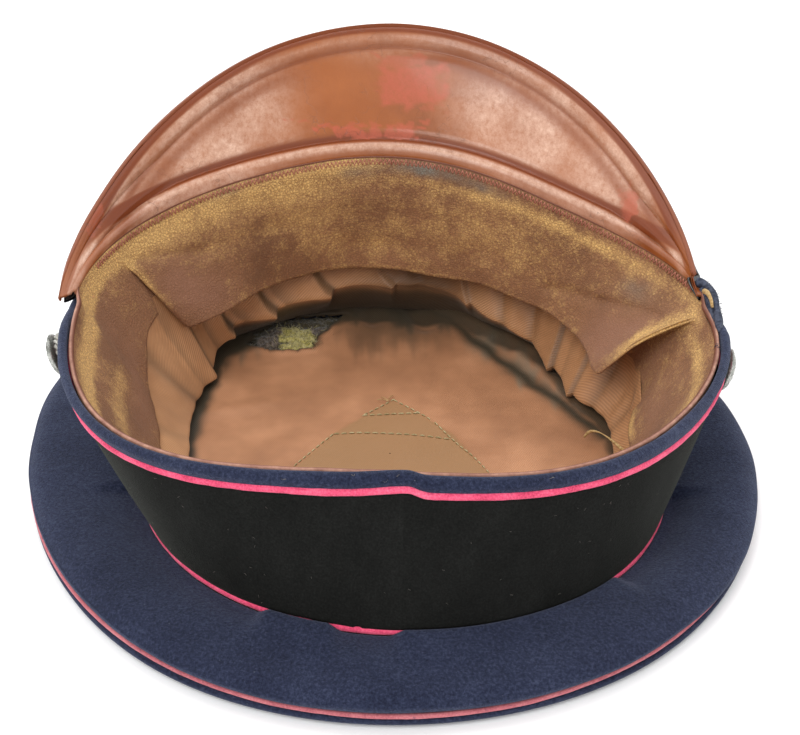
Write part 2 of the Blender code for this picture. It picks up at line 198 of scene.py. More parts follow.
def tubeInto(points, faces, uvs, line, radius, sides=6, closed=False, taper=None):
    # adds a round tube along the line to the lists
    first = len(points)
    count = len(line)
    length = 0.0
    lengths = [0.0]
    for a, b in zip(line, line[1:]):
        length += (b - a).length
        lengths.append(length)
    up = Vector((0.0, 0.0, 1.0))
    for k, point in enumerate(line):
        ahead = line[(k + 1) % count] if closed or k < count - 1 else line[k]
        behind = line[k - 1] if closed or k > 0 else line[k]
        way = (ahead - behind).normalized()
        side = way.cross(up)
        side = side.normalized() if side.length > 0.2 else way.cross(Vector((1.0, 0.3, 0.0))).normalized()
        top = side.cross(way).normalized()
        size = radius(k / max(1, count - 1)) if callable(radius) else radius
        if taper and not closed:
            size *= 0.25 + 0.75 * smooth(0.0, taper, min(k, count - 1 - k) / max(1, count - 1))
        for i in range(sides):
            a = tau * i / sides
            points.append(point + (side * math.cos(a) + top * math.sin(a)) * size)
    for k in range(count if closed else count - 1):
        n = (k + 1) % count
        for i in range(sides):
            j = (i + 1) % sides
            faces.append((first + k * sides + i, first + n * sides + i, first + n * sides + j,
                          first + k * sides + j))
            u0, u1 = lengths[k], lengths[n] if n else length
            uvs += [(u0, i / sides), (u1, i / sides), (u1, (i + 1) / sides), (u0, (i + 1) / sides)]
    if not closed:
        faces.append([first + i for i in range(sides)])
        faces.append([first + (count - 1) * sides + i for i in reversed(range(sides))])
        uvs += [(0.0, 0.0)] * sides + [(length, 0.0)] * sides


def tubePiece(name, parts, finish, nodes=()):
    # one piece from the points, faces and uvs that tubeInto gathered
    points, faces, uvs = parts
    return newPiece(name, points, faces, finish, nodes, uvs)


# small tools for finishes

waveScale = 0.314  # a wave texture of this scale has stripes one unit apart


def put(tree, kind, values=None, **settings):
    made = tree.nodes.new("ShaderNode" + kind)
    for key, value in settings.items():
        setattr(made, key, value)
    for key, value in (values or {}).items():
        if isinstance(value, bpy.types.NodeSocket):
            tree.links.new(value, made.inputs[key])
        else:
            made.inputs[key].default_value = value
    return made


def rampOf(tree, factor, stops):
    ramp = put(tree, "ValToRGB", {"Fac": factor})
    while len(ramp.color_ramp.elements) < len(stops):
        ramp.color_ramp.elements.new(0.5)
    for element, (place, colour) in zip(ramp.color_ramp.elements, stops):
        element.position = place
        element.color = (*colour, 1.0) if len(colour) == 3 else colour
    return ramp.outputs["Color"]


def mixOf(tree, factor, a, b, blend="MIX"):
    made = put(tree, "Mix", data_type="RGBA", blend_type=blend)
    for index, value in ((0, factor), (6, a), (7, b)):
        if isinstance(value, bpy.types.NodeSocket):
            tree.links.new(value, made.inputs[index])
        elif index:
            made.inputs[index].default_value = (*value, 1.0)
        else:
            made.inputs[index].default_value = value
    return made.outputs[2]


def mathOf(tree, kind, a, b, clamp=False):
    made = put(tree, "Math", operation=kind, use_clamp=clamp)
    for index, value in enumerate((a, b)):
        if isinstance(value, bpy.types.NodeSocket):
            tree.links.new(value, made.inputs[index])
        else:
            made.inputs[index].default_value = value
    return made.outputs[0]


def plus(tree, a, b):
    return mathOf(tree, "ADD", a, b)


def minus(tree, a, b):
    return mathOf(tree, "SUBTRACT", a, b)


def times(tree, a, b, clamp=False):
    return mathOf(tree, "MULTIPLY", a, b, clamp)


def toneOf(tree, factor, look, places):
    # colours of a look at three places of a factor
    places = zip(places, ("deep", "mid", "pale"))
    return rampOf(tree, factor, [(place, look[name]) for place, name in places])


def fadeOf(tree, factor, low, high, first=0.0, last=1.0):
    # grey that goes from the first to the last value while the factor goes from low to high
    return rampOf(tree, factor, ((low, (first,) * 3), (high, (last,) * 3)))


def noiseOf(tree, scale, where, detail=3.0, roughness=0.55, stretch=None):
    if stretch:
        where = put(tree, "Mapping", {"Vector": where, "Scale": stretch}).outputs["Vector"]
    values = {"Vector": where, "Scale": scale, "Detail": detail, "Roughness": roughness}
    return put(tree, "TexNoise", values).outputs["Fac"]


def newFinish(name, values):
    finish = bpy.data.materials.new(name)
    finish.use_nodes = True
    tree = finish.node_tree
    shader = tree.nodes["Principled BSDF"]
    for key, value in values.items():
        shader.inputs[key].default_value = value
    where = put(tree, "TexCoord").outputs["Object"]
    return finish, tree, shader, where


def feed(tree, shader, value, socket="Base Color"):
    tree.links.new(value, shader.inputs[socket])


def dent(tree, shader, height, distance, strength=1.0, before=None):
    values = {"Height": height, "Distance": distance, "Strength": strength}
    if before is not None:
        values["Normal"] = before
    made = put(tree, "Bump", values).outputs["Normal"]
    tree.links.new(made, shader.inputs["Normal"])
    return made


def maskOf(tree, key):
    return put(tree, "Attribute", attribute_name=key, attribute_type="GEOMETRY").outputs["Fac"]


# camera and light

# degrees for the angles, millimetres for the lens and the film, metres for the rest
view = {
    "target": (2.5 * mm, 3.1 * mm, 40.0 * mm),
    "distance": 0.850,
    "elevation": 32.0,
    "yaw": 2.5,
    "roll": -1.2,
    "lens": 122.4,
    "film": 36.0,
}


def placeCamera():
    yaw, lift, roll = (math.radians(view[k]) for k in ("yaw", "elevation", "roll"))
    right = Vector((math.cos(yaw), -math.sin(yaw), 0.0))
    ahead = Vector((math.sin(yaw), math.cos(yaw), 0.0))
    forward = ahead * math.cos(lift) - Vector((0.0, 0.0, math.sin(lift)))
    up = ahead * math.sin(lift) + Vector((0.0, 0.0, math.cos(lift)))
    sideways = right * math.cos(roll) - up * math.sin(roll)
    upward = right * math.sin(roll) + up * math.cos(roll)
    lens = bpy.data.cameras.new("photo camera")
    lens.sensor_width = view["film"]
    lens.lens = view["lens"]
    lens.clip_start = 0.02
    camera = bpy.data.objects.new("photo camera", lens)
    bpy.context.scene.collection.objects.link(camera)
    place = Matrix((sideways, upward, -forward)).transposed().to_4x4()
    place.translation = Vector(view["target"]) - forward * view["distance"]
    camera.matrix_world = place
    bpy.context.scene.camera = camera


studio = {
    # degrees round the cap from the front of the picture, degrees above the floor, degrees wide, strength
    "lamps": ((138.0, 59.0, 46.0, 0.62), (-138.0, 59.0, 52.0, 0.85), (-30.0, 50.0, 34.0, 1.30)),
    "lampsAway": 1.5,
    # brightness of the tent: (height of the ray, amount)
    "tent": ((0.0, 1.0), (0.25, 1.0), (0.6, 0.62), (1.0, 0.42)),
    "tentGlow": 1.35,
    "floor": (0.93, 0.93, 0.93),
    "floorMottle": 1.02, "floorGlow": 0.12, "floorReach": 8.0,
}


def hangLamps():
    for number, (turn, lift, size, strength) in enumerate(studio["lamps"]):
        lamp = bpy.data.lights.new("soft lamp %d" % number, "SUN")
        lamp.angle = math.radians(size)
        lamp.energy = strength
        holder = bpy.data.objects.new("soft lamp %d" % number, lamp)
        bpy.context.scene.collection.objects.link(holder)
        a, e = math.radians(turn), math.radians(lift)
        toward = Vector((math.sin(a) * math.cos(e), -math.cos(a) * math.cos(e), math.sin(e)))
        holder.rotation_mode = "QUATERNION"
        holder.rotation_quaternion = toward.to_track_quat("Z", "Y")
        holder.location = toward * studio["lampsAway"]


def makeTent():
    world = bpy.data.worlds.new("studio")
    bpy.context.scene.world = world
    world.use_nodes = True
    tree = world.node_tree
    sky = tree.nodes["Background"]
    where = put(tree, "TexCoord").outputs["Generated"]
    height = put(tree, "SeparateXYZ", {"Vector": where}).outputs["Z"]
    stops = [(place, (amount, amount, amount)) for place, amount in studio["tent"]]
    tree.links.new(rampOf(tree, height, stops), sky.inputs["Color"])
    sky.inputs["Strength"].default_value = studio["tentGlow"]


def makeFloor():
    floor, tree, shader, where = newFinish("pale floor", {
        "Roughness": 0.9, "Specular IOR Level": 0.05, "Emission Strength": studio["floorGlow"]})
    shade = noiseOf(tree, 6.0, where, 2.0)
    brighter = [part * studio["floorMottle"] for part in studio["floor"]]
    tone = rampOf(tree, shade, ((0.3, studio["floor"]), (0.7, brighter)))
    feed(tree, shader, tone)
    feed(tree, shader, tone, "Emission Color")
    mesh = bpy.data.meshes.new("floor")
    r = studio["floorReach"]
    mesh.from_pydata([(-r, -r, 0), (r, -r, 0), (r, r, 0), (-r, r, 0)], [], [(0, 1, 2, 3)])
    mesh.materials.append(floor)
    ground = bpy.data.objects.new("floor", mesh)
    bpy.context.scene.collection.objects.link(ground)


placeCamera()
hangLamps()
makeTent()
makeFloor()
bpy.context.scene.view_settings.view_transform = "Standard"
bpy.context.scene.view_settings.look = "None"
print("camera, lamps and floor are set")


# the cap's lines, as the solids have them

capLines = {
    "mouthReach": 95.3 * mm, "mouthHeight": 62.2 * mm, "mouthFrontRise": 2.2 * mm, "mouthEndRise": 5.1 * mm,
    "sideLean": 1.0 * mm,
    "mouthWaves": ((1, 0.054, -0.018), (2, -0.055, 0.010), (3, -0.015, -0.011), (4, 0.0, 0.006),
                   (5, -0.016, 0.015)),
    "jointReach": 90.7 * mm, "jointHeight": 13.5 * mm, "jointFrontRise": 3.0 * mm, "jointEndRise": 4.1 * mm,
    "jointWaves": ((1, 0.012, 0.027), (2, 0.092, 0.012), (3, -0.004, -0.010)),
    "crownReach": 118.2 * mm, "crownEdge": 4.5 * mm,
    "crownWaves": ((1, 0.006, -0.007), (2, 0.041, 0.015), (3, 0.003, -0.010)),
    "bandStandOut": 3.0 * mm, "bandHeight": 50.0 * mm,
    # the lap at the back of the rim: its turn, how far it rises, degrees to its left and to its right
    "kinkTurn": 0.6, "kinkRise": 2.0 * mm, "kinkLeft": 6.5, "kinkRight": 2.2,
    # how far below the mouth the rim piping lies: all round, less at front and back, more by the peak
    "rimDrop": 5.6 * mm, "rimEndDrop": 0.5 * mm, "rimPeakDrop": 2.2 * mm,
    # the peak presses the rim down up to so many degrees from the front, fading over so many
    "pressedTo": 78.0, "pressedFade": 10.0,
}


def mouthLine(turn):
    c = capLines
    level = c["mouthHeight"] - c["mouthFrontRise"] * math.cos(turn) + c["mouthEndRise"] * math.cos(2 * turn)
    return waved(c["mouthReach"], c["mouthWaves"], turn), level - c["sideLean"] * math.sin(turn)


def jointLine(turn):
    c = capLines
    level = c["jointHeight"] - c["jointFrontRise"] * math.cos(turn) + c["jointEndRise"] * math.cos(2 * turn)
    return waved(c["jointReach"], c["jointWaves"], turn), level - c["sideLean"] * math.sin(turn)


def crownLine(turn):
    return waved(capLines["crownReach"], capLines["crownWaves"], turn), capLines["crownEdge"]


def kink(turn):
    # the rim cloth is lapped at the back: its left part climbs to the lap, its right part starts lower
    away = degreesApart(math.degrees(turn), capLines["kinkTurn"])
    width = capLines["kinkLeft"] if away < 0.0 else capLines["kinkRight"]
    return capLines["kinkRise"] * math.exp(-(away / width) ** 2)


def onBand(turn, share, out=0.0):
    # (reach, height) at a share of the way down the band, so far out from its face
    topReach, topHeight = mouthLine(turn)
    lowReach, lowHeight = jointLine(turn)
    topReach += capLines["bandStandOut"]
    run, rise = lowReach - topReach, lowHeight - topHeight
    length = math.hypot(run, rise)
    return topReach + run * share - rise / length * out, topHeight + rise * share + run / length * out


def underPeak(turn):
    # 1 where the peak presses the rim down, 0 round the rest of the mouth
    away = abs(degreesApart(math.degrees(turn), 180.0)) - capLines["pressedTo"]
    return min(1.0, max(0.0, 1.3 - away / capLines["pressedFade"]))


def rimPipingShare(turn):
    drop = capLines["rimDrop"] - capLines["rimEndDrop"] * math.cos(2 * turn)
    return (drop + capLines["rimPeakDrop"] * underPeak(turn)) / capLines["bandHeight"]


# cloth finishes

def makeWool():
    look = {"deep": (0.0095, 0.0120, 0.0270), "mid": (0.0200, 0.0255, 0.0540),
            "pale": (0.046, 0.056, 0.100), "lint": (0.22, 0.24, 0.30)}
    finish, tree, shader, where = newFinish("navy wool", {
        "Roughness": 0.95, "Specular IOR Level": 0.12, "Sheen Weight": 0.20, "Sheen Roughness": 0.45,
        "Sheen Tint": (0.62, 0.68, 0.90, 1.0)})
    broad = noiseOf(tree, 45.0, where, 3.0)
    felt = noiseOf(tree, 1100.0, where, 5.0, 0.75)
    fibres = noiseOf(tree, 3800.0, where, 2.0, 0.6)
    blend = plus(tree, times(tree, felt, 0.82), times(tree, broad, 0.18))
    colour = toneOf(tree, blend, look, (0.38, 0.51, 0.66))
    specks = put(tree, "TexVoronoi", {"Vector": where, "Scale": 330.0}).outputs["Distance"]
    speck = fadeOf(tree, specks, 0.045, 0.075, 1.0, 0.0)
    chosen = fadeOf(tree, noiseOf(tree, 140.0, where, 1.0), 0.58, 0.64)
    dots = mixOf(tree, 1.0, speck, chosen, "MULTIPLY")
    feed(tree, shader, mixOf(tree, times(tree, dots, 0.35), colour, look["lint"]))
    first = dent(tree, shader, felt, 0.55 * mm, 0.75)
    dent(tree, shader, fibres, 0.14 * mm, 0.7, first)
    return finish


def makePiping(name, look):
    finish, tree, shader, where = newFinish(name, {
        "Roughness": 0.9, "Specular IOR Level": 0.15, "Sheen Weight": 0.25, "Sheen Roughness": 0.5,
        "Sheen Tint": (1.0, 0.6, 0.72, 1.0)})
    felt = noiseOf(tree, 1800.0, where, 3.0, 0.7)
    broad = noiseOf(tree, 120.0, where, 2.0)
    blend = plus(tree, times(tree, felt, 0.6), times(tree, broad, 0.4))
    colour = toneOf(tree, blend, look, (0.34, 0.50, 0.72))
    dirtAndShade = fadeOf(tree, noiseOf(tree, 420.0, where, 3.0, 0.7), 0.60, 0.72)
    feed(tree, shader, mixOf(tree, times(tree, dirtAndShade, look["dirtAndShade"]), colour, look["dirtColour"]))
    dent(tree, shader, felt, 0.22 * mm, 0.6)
    return finish


def makeVelvet():
    look = {"deep": (0.0060, 0.0062, 0.0058), "mid": (0.0105, 0.0108, 0.0100),
            "pale": (0.0180, 0.0185, 0.0175)}
    finish, tree, shader, where = newFinish("black velvet", {
        "Roughness": 1.0, "Specular IOR Level": 0.05, "Sheen Weight": 0.10, "Sheen Roughness": 0.3,
        "Sheen Tint": (0.75, 0.78, 0.70, 1.0)})
    uv = put(tree, "UVMap", uv_map="cloth").outputs["UV"]
    streaks = noiseOf(tree, 60.0, uv, 4.0, 0.6, (1.0, 0.6, 1.0))
    pile = noiseOf(tree, 1500.0, where, 4.0, 0.7)
    blend = plus(tree, times(tree, streaks, 0.35), times(tree, pile, 0.65))
    feed(tree, shader, toneOf(tree, blend, look, (0.36, 0.52, 0.70)))
    dent(tree, shader, pile, 0.25 * mm, 0.6)
    return finish


def makeSatin(name, look):
    # twill-faced satin: fine slanting ribs, soft blotches; painted shade and real stains come through one
    # mask, painted sheen and a grey patch through another
    finish, tree, shader, where = newFinish(name, {
        "Roughness": look["roughness"], "Specular IOR Level": 0.35, "Sheen Weight": 0.15,
        "Sheen Roughness": 0.4, "Sheen Tint": (1.0, 0.86, 0.72, 1.0)})
    uv = put(tree, "UVMap", uv_map="cloth").outputs["UV"]
    slant = (0.0, 0.0, math.radians(look["slant"]))
    slanted = put(tree, "Mapping", {"Vector": uv, "Rotation": slant}).outputs["Vector"]
    ribs = put(tree, "TexWave", {"Vector": slanted, "Scale": waveScale / look["pitch"], "Distortion": 0.6,
                                 "Detail": 1.0, "Detail Scale": 0.6}).outputs["Fac"]
    threads = noiseOf(tree, 2600.0, slanted, 2.0, 0.6, (1.0, 0.08, 1.0))
    blotch = noiseOf(tree, 38.0, where, 3.0, 0.6)
    body = toneOf(tree, blotch, look, (0.32, 0.52, 0.72))
    ribbed = mixOf(tree, times(tree, minus(tree, 1.0, ribs), look["ribShade"]), body, look["rib"])
    worn = mixOf(tree, times(tree, threads, 0.18), ribbed, look["pale"])
    patched = mixOf(tree, maskOf(tree, "patch"), worn, look["patch"])
    # painted sheen of the satin, and a real grey patch
    withSheenAndGreyPatch = mixOf(tree, maskOf(tree, "sheenAndGreyPatch"), patched, look["sheenAndGreyPatch"])
    # painted shade, with real stains on the crown lining
    feed(tree, shader, mixOf(tree, maskOf(tree, "stainAndShade"), withSheenAndGreyPatch, look["stainAndShade"]))
    first = dent(tree, shader, ribs, look["ribDepth"], 0.7)
    dent(tree, shader, threads, 0.05 * mm, 0.6, first)
    return finish


def makeLeather(name, look):
    finish, tree, shader, where = newFinish(name, {
        "Specular IOR Level": 0.28, "Sheen Weight": 0.06, "Sheen Roughness": 0.5})
    cells = put(tree, "TexVoronoi", {"Vector": where, "Scale": look["grain"]},
                feature="DISTANCE_TO_EDGE").outputs["Distance"]
    pebbles = fadeOf(tree, cells, 0.0, 0.20)
    fine = noiseOf(tree, 1500.0, where, 3.0, 0.65)
    flecks = noiseOf(tree, 900.0, where, 4.0, 0.80)
    clouds = noiseOf(tree, 150.0, where, 4.0, 0.65)
    blotch = noiseOf(tree, 42.0, where, 3.0, 0.60)
    body = toneOf(tree, blotch, look, (0.10, 0.50, 0.90))
    polished = mixOf(tree, times(tree, maskOf(tree, "smooth"), 0.85, True), body, look["smooth"])
    mottled = mixOf(tree, times(tree, fine, 0.30), polished, look["deep"])
    # gold shows where the surface is rubbed, and as flecks of the grain everywhere else
    rubbed = plus(tree, maskOf(tree, "wear"), times(tree, minus(tree, flecks, 0.5), 1.9))
    rubbed = minus(tree, rubbed, times(tree, maskOf(tree, "smooth"), 0.30))
    rubbed = plus(tree, rubbed, times(tree, minus(tree, blotch, 0.45), 0.9))
    rubbed = plus(tree, rubbed, times(tree, minus(tree, clouds, 0.5), 1.5))
    wear = fadeOf(tree, rubbed, 0.08, 1.0)
    ochre = rampOf(tree, fine, ((0.35, look["ochreDeep"]), (0.62, look["ochre"])))
    worn = mixOf(tree, wear, mottled, ochre)
    # on the leather this mask holds real stains only
    stained = mixOf(tree, maskOf(tree, "stainAndShade"), worn, look["stainAndShade"])
    joints = minus(tree, 1.0, pebbles)
    pits = times(tree, joints, minus(tree, 0.48, times(tree, maskOf(tree, "smooth"), 0.3)))
    feed(tree, shader, mixOf(tree, pits, stained, look["deep"]))
    gloss = fadeOf(tree, fine, 0.3, 0.7, 0.50, 0.72)
    feed(tree, shader, gloss, "Roughness")
    first = dent(tree, shader, pebbles, 0.20 * mm, 0.7)
    second = dent(tree, shader, flecks, 0.30 * mm, 0.6, first)
    dent(tree, shader, fine, 0.16 * mm, 0.6, second)
    return finish


navyWool = makeWool()
pinkWool = makePiping("pink piping wool", {
    "deep": (0.42, 0.030, 0.075), "mid": (0.72, 0.072, 0.160), "pale": (0.86, 0.19, 0.29), "dirtAndShade": 0.35,
    "dirtColour": (0.10, 0.05, 0.09)})
fadedWool = makePiping("faded piping wool", {
    "deep": (0.26, 0.065, 0.085), "mid": (0.47, 0.130, 0.150), "pale": (0.62, 0.24, 0.25), "dirtAndShade": 0.55,
    "dirtColour": (0.10, 0.05, 0.09)})
blackVelvet = makeVelvet()
# in both linings the near-black stain colour is painted shade, on the crown together with real stains, and
# the grey-green colour is painted sheen
lining = makeSatin("copper lining", {
    "deep": (0.33, 0.155, 0.068), "mid": (0.45, 0.220, 0.098), "pale": (0.60, 0.315, 0.150),
    "rib": (0.17, 0.076, 0.032), "stainAndShade": (0.034, 0.025, 0.014), "patch": (0.30, 0.185, 0.085),
    "sheenAndGreyPatch": (0.175, 0.130, 0.075), "pitch": 0.80 * mm, "slant": 52.0,
    "ribShade": 0.50, "ribDepth": 0.10 * mm, "roughness": 0.46})
crownSatin = makeSatin("crown lining satin", {
    "deep": (0.28, 0.126, 0.060), "mid": (0.40, 0.188, 0.092), "pale": (0.55, 0.272, 0.142),
    "rib": (0.22, 0.098, 0.047), "stainAndShade": (0.034, 0.029, 0.018), "patch": (0.32, 0.175, 0.078),
    "sheenAndGreyPatch": (0.265, 0.190, 0.125), "pitch": 0.62 * mm, "slant": 28.0,
    "ribShade": 0.34, "ribDepth": 0.05 * mm, "roughness": 0.44})
bandLeather = makeLeather("grained leather", {
    "deep": (0.125, 0.052, 0.024), "mid": (0.290, 0.134, 0.060), "pale": (0.420, 0.205, 0.100),
    "smooth": (0.315, 0.150, 0.090), "ochre": (0.76, 0.480, 0.175), "ochreDeep": (0.50, 0.280, 0.100),
    "stainAndShade": (0.200, 0.180, 0.145), "grain": 1050.0})
print("cloth and leather finishes are mixed")


# crown: its side, its flat face and the pipings

crown = {
    "cloth": 1.8 * mm, "discCloth": 1.4 * mm, "shoulder": 11.7 * mm,
    "bulge": 1.75 * mm, "endBulge": 0.4 * mm, "rightBulge": 0.15 * mm, "rollBulge": 0.3 * mm,
    "puffs": 1.2 * mm, "lumps": 0.45 * mm,
    # the edge swells beside the middle of the back: (turn, degrees away, degrees wide, metres out)
    "backSwell": (3.0, 36.0, 20.0, 0.9 * mm),
    # (radius, unevenness) of the pipings, in metres
    "edgePiping": (0.90 * mm, 0.14 * mm), "jointPiping": (1.15 * mm, 0.15 * mm),
    "rimPiping": (1.36 * mm, 0.15 * mm),
    # where the side's cloth rides over the joint piping: (from turn, to turn)
    "covers": ((-24.0, -10.8), (-0.8, 43.0), (76.0, 284.0)),
    "coverRise": 2.6 * mm,
    # where its lower edge rolls down over the edge piping: (from turn, to turn)
    "rolls": ((52.0, 128.0),),
    "rollDrop": 1.5 * mm,
    # steps round the cap and rows across
    "sideMesh": (720, 30), "discMesh": (360, 18), "pipingMesh": (840, 10),
}


def covered(stretches, turn, soft):
    # 1 inside the stretches, 0 outside, with a soft change of so many degrees
    degrees = math.degrees(turn) % 360.0
    total = 0.0
    for start, end in stretches:
        for shift in (-360.0, 0.0, 360.0):
            inside = min(degrees - (start + shift), (end + shift) - degrees)
            total = max(total, smooth(-soft, soft, inside))
    return total


def backSwell(turn):
    # two soft bulges, one to each side of the middle of the back
    middle, away, width, amount = crown["backSwell"]
    return amount * bump(abs(degreesApart(math.degrees(turn), middle)), away, width)


def makeCrownSide():
    steps, rows = crown["sideMesh"]
    grid = []
    for k in range(steps):
        turn = tau * k / steps
        edge, level = crownLine(turn)
        roll = covered(crown["rolls"], turn, 9.0)
        seam = level + 1.35 * mm - crown["rollDrop"] * roll
        start, height = jointLine(turn)
        cover = covered(crown["covers"], turn, 1.6)
        top = height - 0.5 * mm
        span = edge - start
        shoulder = max(crown["shoulder"], top - 2.0 * mm)
        rise = crown["coverRise"] * cover
        bulge = crown["bulge"] + crown["endBulge"] * math.cos(2 * turn)
        bulge += crown["rightBulge"] * math.sin(turn)
        bulge += crown["rollBulge"] * roll
        bulge += backSwell(turn)
        profile = [
            (start - 1.2 * mm, top - 3.0 * mm),
            (start - 0.2 * mm, top - 0.6 * mm + 0.4 * rise),
            (start + mix(1.1, 0.9, cover) * mm, top + 0.2 * mm + rise),
            (start + 0.13 * span, top + 0.3 * mm + 0.95 * rise),
            (start + 0.35 * span, mix(top, shoulder, 0.4) + crown["puffs"] + 0.35 * rise),
            (start + 0.60 * span, mix(top, shoulder, 0.8) + 1.1 * mm),
            (edge - 5.0 * mm, shoulder + 0.3 * mm),
            (edge - 1.2 * mm, shoulder - 0.9 * mm),
            (edge + 0.6 * bulge, shoulder - 2.6 * mm),
            (edge + bulge, mix(shoulder, seam, 0.52)),
            (edge + 0.8 * bulge, mix(shoulder, seam, 0.82)),
            (edge + 0.2 * mm, seam - 0.1 * mm),
            (edge - 1.8 * mm, seam - 0.1 * mm),
        ]
        line = []
        for i, (reach, z) in enumerate(curveThrough(profile, rows)):
            point = inSpace(turn, reach, z)
            v = i / (rows - 1)
            free = smooth(0.08, 0.3, v) * smooth(1.0, 0.8, v)
            soft = rough(point, 34 * mm, 2.0) + 0.45 * rough(point, 13 * mm, 5.0)
            point.z += crown["lumps"] * free * soft
            point += inSpace(turn, 0.35 * mm * free * rough(point, 22 * mm, 9.0), 0.0)
            line.append(point)
        grid.append(line)
    piece = gridPiece("crownQuarter", grid, navyWool, ("crown_side",), flip=True)
    return thicken(piece, crown["cloth"])


def makeCrownDisc():
    steps, rows = crown["discMesh"]
    grid = []
    for k in range(steps):
        turn = tau * k / steps
        edge, level = crownLine(turn)
        swell = backSwell(turn)
        profile = [
            (edge - 1.8 * mm, level - 0.8 * mm),
            (edge + 0.1 * mm + 0.6 * swell, level - 1.0 * mm),
            (edge + 0.7 * mm + swell, level - 1.8 * mm),
            (edge + 0.1 * mm + swell, level - 3.1 * mm),
            (edge - 2.6 * mm, 0.35 * mm),
            (edge - 8.0 * mm, 0.0),
            (edge - 24.0 * mm, 0.0),
            (0.5 * edge, 0.0),
            (0.0, 0.0),
        ]
        section = curveThrough(profile, rows)
        grid.append([inSpace(turn, max(0.3 * mm, reach), max(0.0, z)) for reach, z in section])
    piece = gridPiece("crownDisc", grid, navyWool, ("crown_top",), flip=True)
    return thicken(piece, crown["discCloth"])


def makePipingRing(name, node, centre, size, finish):
    radius, lumps = size
    steps, sides = crown["pipingMesh"]
    grid = []
    for k in range(steps):
        turn = tau * k / steps
        reach, z = centre(turn)
        here = inSpace(turn, reach, z)
        thick = radius * (1.0 + 0.06 * rough(here, 5 * mm, 4.0) + 0.04 * rough(here, 1.6 * mm, 7.0))
        reach += lumps * rough(here, 17 * mm, 11.0)
        z += lumps * rough(here, 14 * mm, 13.0) + 0.4 * lumps * rough(here, 5 * mm, 15.0)
        line = []
        for i in range(sides):
            a = -tau * i / sides
            line.append(inSpace(turn, reach + thick * math.cos(a), z + thick * math.sin(a)))
        grid.append(line)
    return gridPiece(name, grid, finish, (node,), across=True, flip=True)


def edgePipingCentre(turn):
    edge, level = crownLine(turn)
    return edge + 0.15 * mm, level + 0.1 * mm


def jointPipingCentre(turn):
    return onBand(turn, 0.99, -0.6 * mm)


def rimPipingCentre(turn):
    reach, z = onBand(turn, rimPipingShare(turn), -0.35 * mm)
    return reach, z + kink(turn)


makeCrownSide()
makeCrownDisc()
makePipingRing("crownPiping", "crown_piping", edgePipingCentre, crown["edgePiping"], fadedWool)
makePipingRing("jointPiping", "joint_piping", jointPipingCentre, crown["jointPiping"], pinkWool)
makePipingRing("rimPiping", "rim_piping", rimPipingCentre, crown["rimPiping"], pinkWool)
print("crown and pipings are made")


# velvet band and the cloth round the rim

velvetBand = {
    "wall": 1.2 * mm, "belly": 0.5 * mm,
    "seamTurn": -7.2, "seamDepth": 0.35 * mm, "seamWidth": 0.45, "seamLips": 0.12 * mm,
    "waves": 0.22 * mm, "ripples": 0.05 * mm,
    "mesh": (720, 22),
}


def makeVelvetBand():
    steps, rows = velvetBand["mesh"]
    grid = []
    for k in range(steps):
        turn = tau * k / steps
        first = rimPipingShare(turn) - kink(turn) / capLines["bandHeight"] * 0.8
        last = 0.995
        away = degreesApart(math.degrees(turn), velvetBand["seamTurn"])
        line = []
        for i in range(rows):
            v = i / (rows - 1)
            share = mix(first, last, v)
            here = inSpace(turn, *onBand(turn, share))
            out = velvetBand["belly"] * math.sin(math.pi * v)
            ripples = velvetBand["ripples"] * rough(here, 5 * mm, 6.0)
            out += velvetBand["waves"] * rough(here, 24 * mm, 3.0) + ripples
            out -= velvetBand["seamDepth"] * math.exp(-(away / velvetBand["seamWidth"]) ** 2)
            out += velvetBand["seamLips"] * math.exp(-((abs(away) - 0.9) / 0.5) ** 2)
            line.append(inSpace(turn, *onBand(turn, share, out)))
        for v in (1.0, 0.5, 0.0):
            line.append(inSpace(turn, *onBand(turn, mix(first, last, v), -velvetBand["wall"])))
        grid.append(line)
    return gridPiece("velvetBand", grid, blackVelvet, ("band",), across=True, flip=True)


rimStrip = {
    "puff": 0.75 * mm, "inside": 3.4 * mm, "dropUnderPeak": 3.9 * mm, "fuzz": 0.10 * mm,
    "mesh": (800, 24),
}


def makeRimStrip():
    steps, rows = rimStrip["mesh"]
    grid = []
    for k in range(steps):
        turn = tau * k / steps
        reach, level = mouthLine(turn)
        drop = rimStrip["dropUnderPeak"] * underPeak(turn)
        lift = kink(turn)
        low = rimPipingShare(turn) - 0.9 * mm / capLines["bandHeight"]
        outTop = onBand(turn, 0.0, 0.2 * mm)
        outTop = (outTop[0] - 0.6 * mm * abs(math.sin(turn)), outTop[1])
        wave = 0.35 * mm * rough(inSpace(turn, reach, 0.0), 15 * mm, 8.0)
        top = level - drop + 0.75 * lift + 0.5 * wave
        mid = onBand(turn, 0.55 * low, rimStrip["puff"])
        foot = onBand(turn, low, 0.15 * mm)
        profile = [
            (foot[0] - 0.8 * mm, foot[1] - 1.0 * mm + lift),
            (foot[0], foot[1] + lift),
            (mid[0] - 0.4 * mm * abs(math.sin(turn)) + 0.3 * wave, mid[1] + 0.9 * lift - 0.5 * drop),
            (outTop[0] + 0.15 * mm, top - 1.5 * mm),
            (outTop[0] - 0.7 * mm, top - 0.25 * mm),
            (reach + 0.9 * mm, top),
            (reach - 0.1 * mm, top - 0.9 * mm),
            (reach - 0.3 * mm, top - rimStrip["inside"]),
        ]
        line = []
        for r, z in curveThrough(profile, rows):
            point = inSpace(turn, r, z)
            fuzz = rimStrip["fuzz"] * rough(point, 3.5 * mm, 5.0)
            point += inSpace(turn, fuzz, 0.6 * fuzz)
            line.append(point)
        grid.append(line)
    return gridPiece("rimStrip", grid, navyWool, ("rim_strip",))


makeVelvetBand()
makeRimStrip()
print("velvet band and rim cloth are made")


# peak

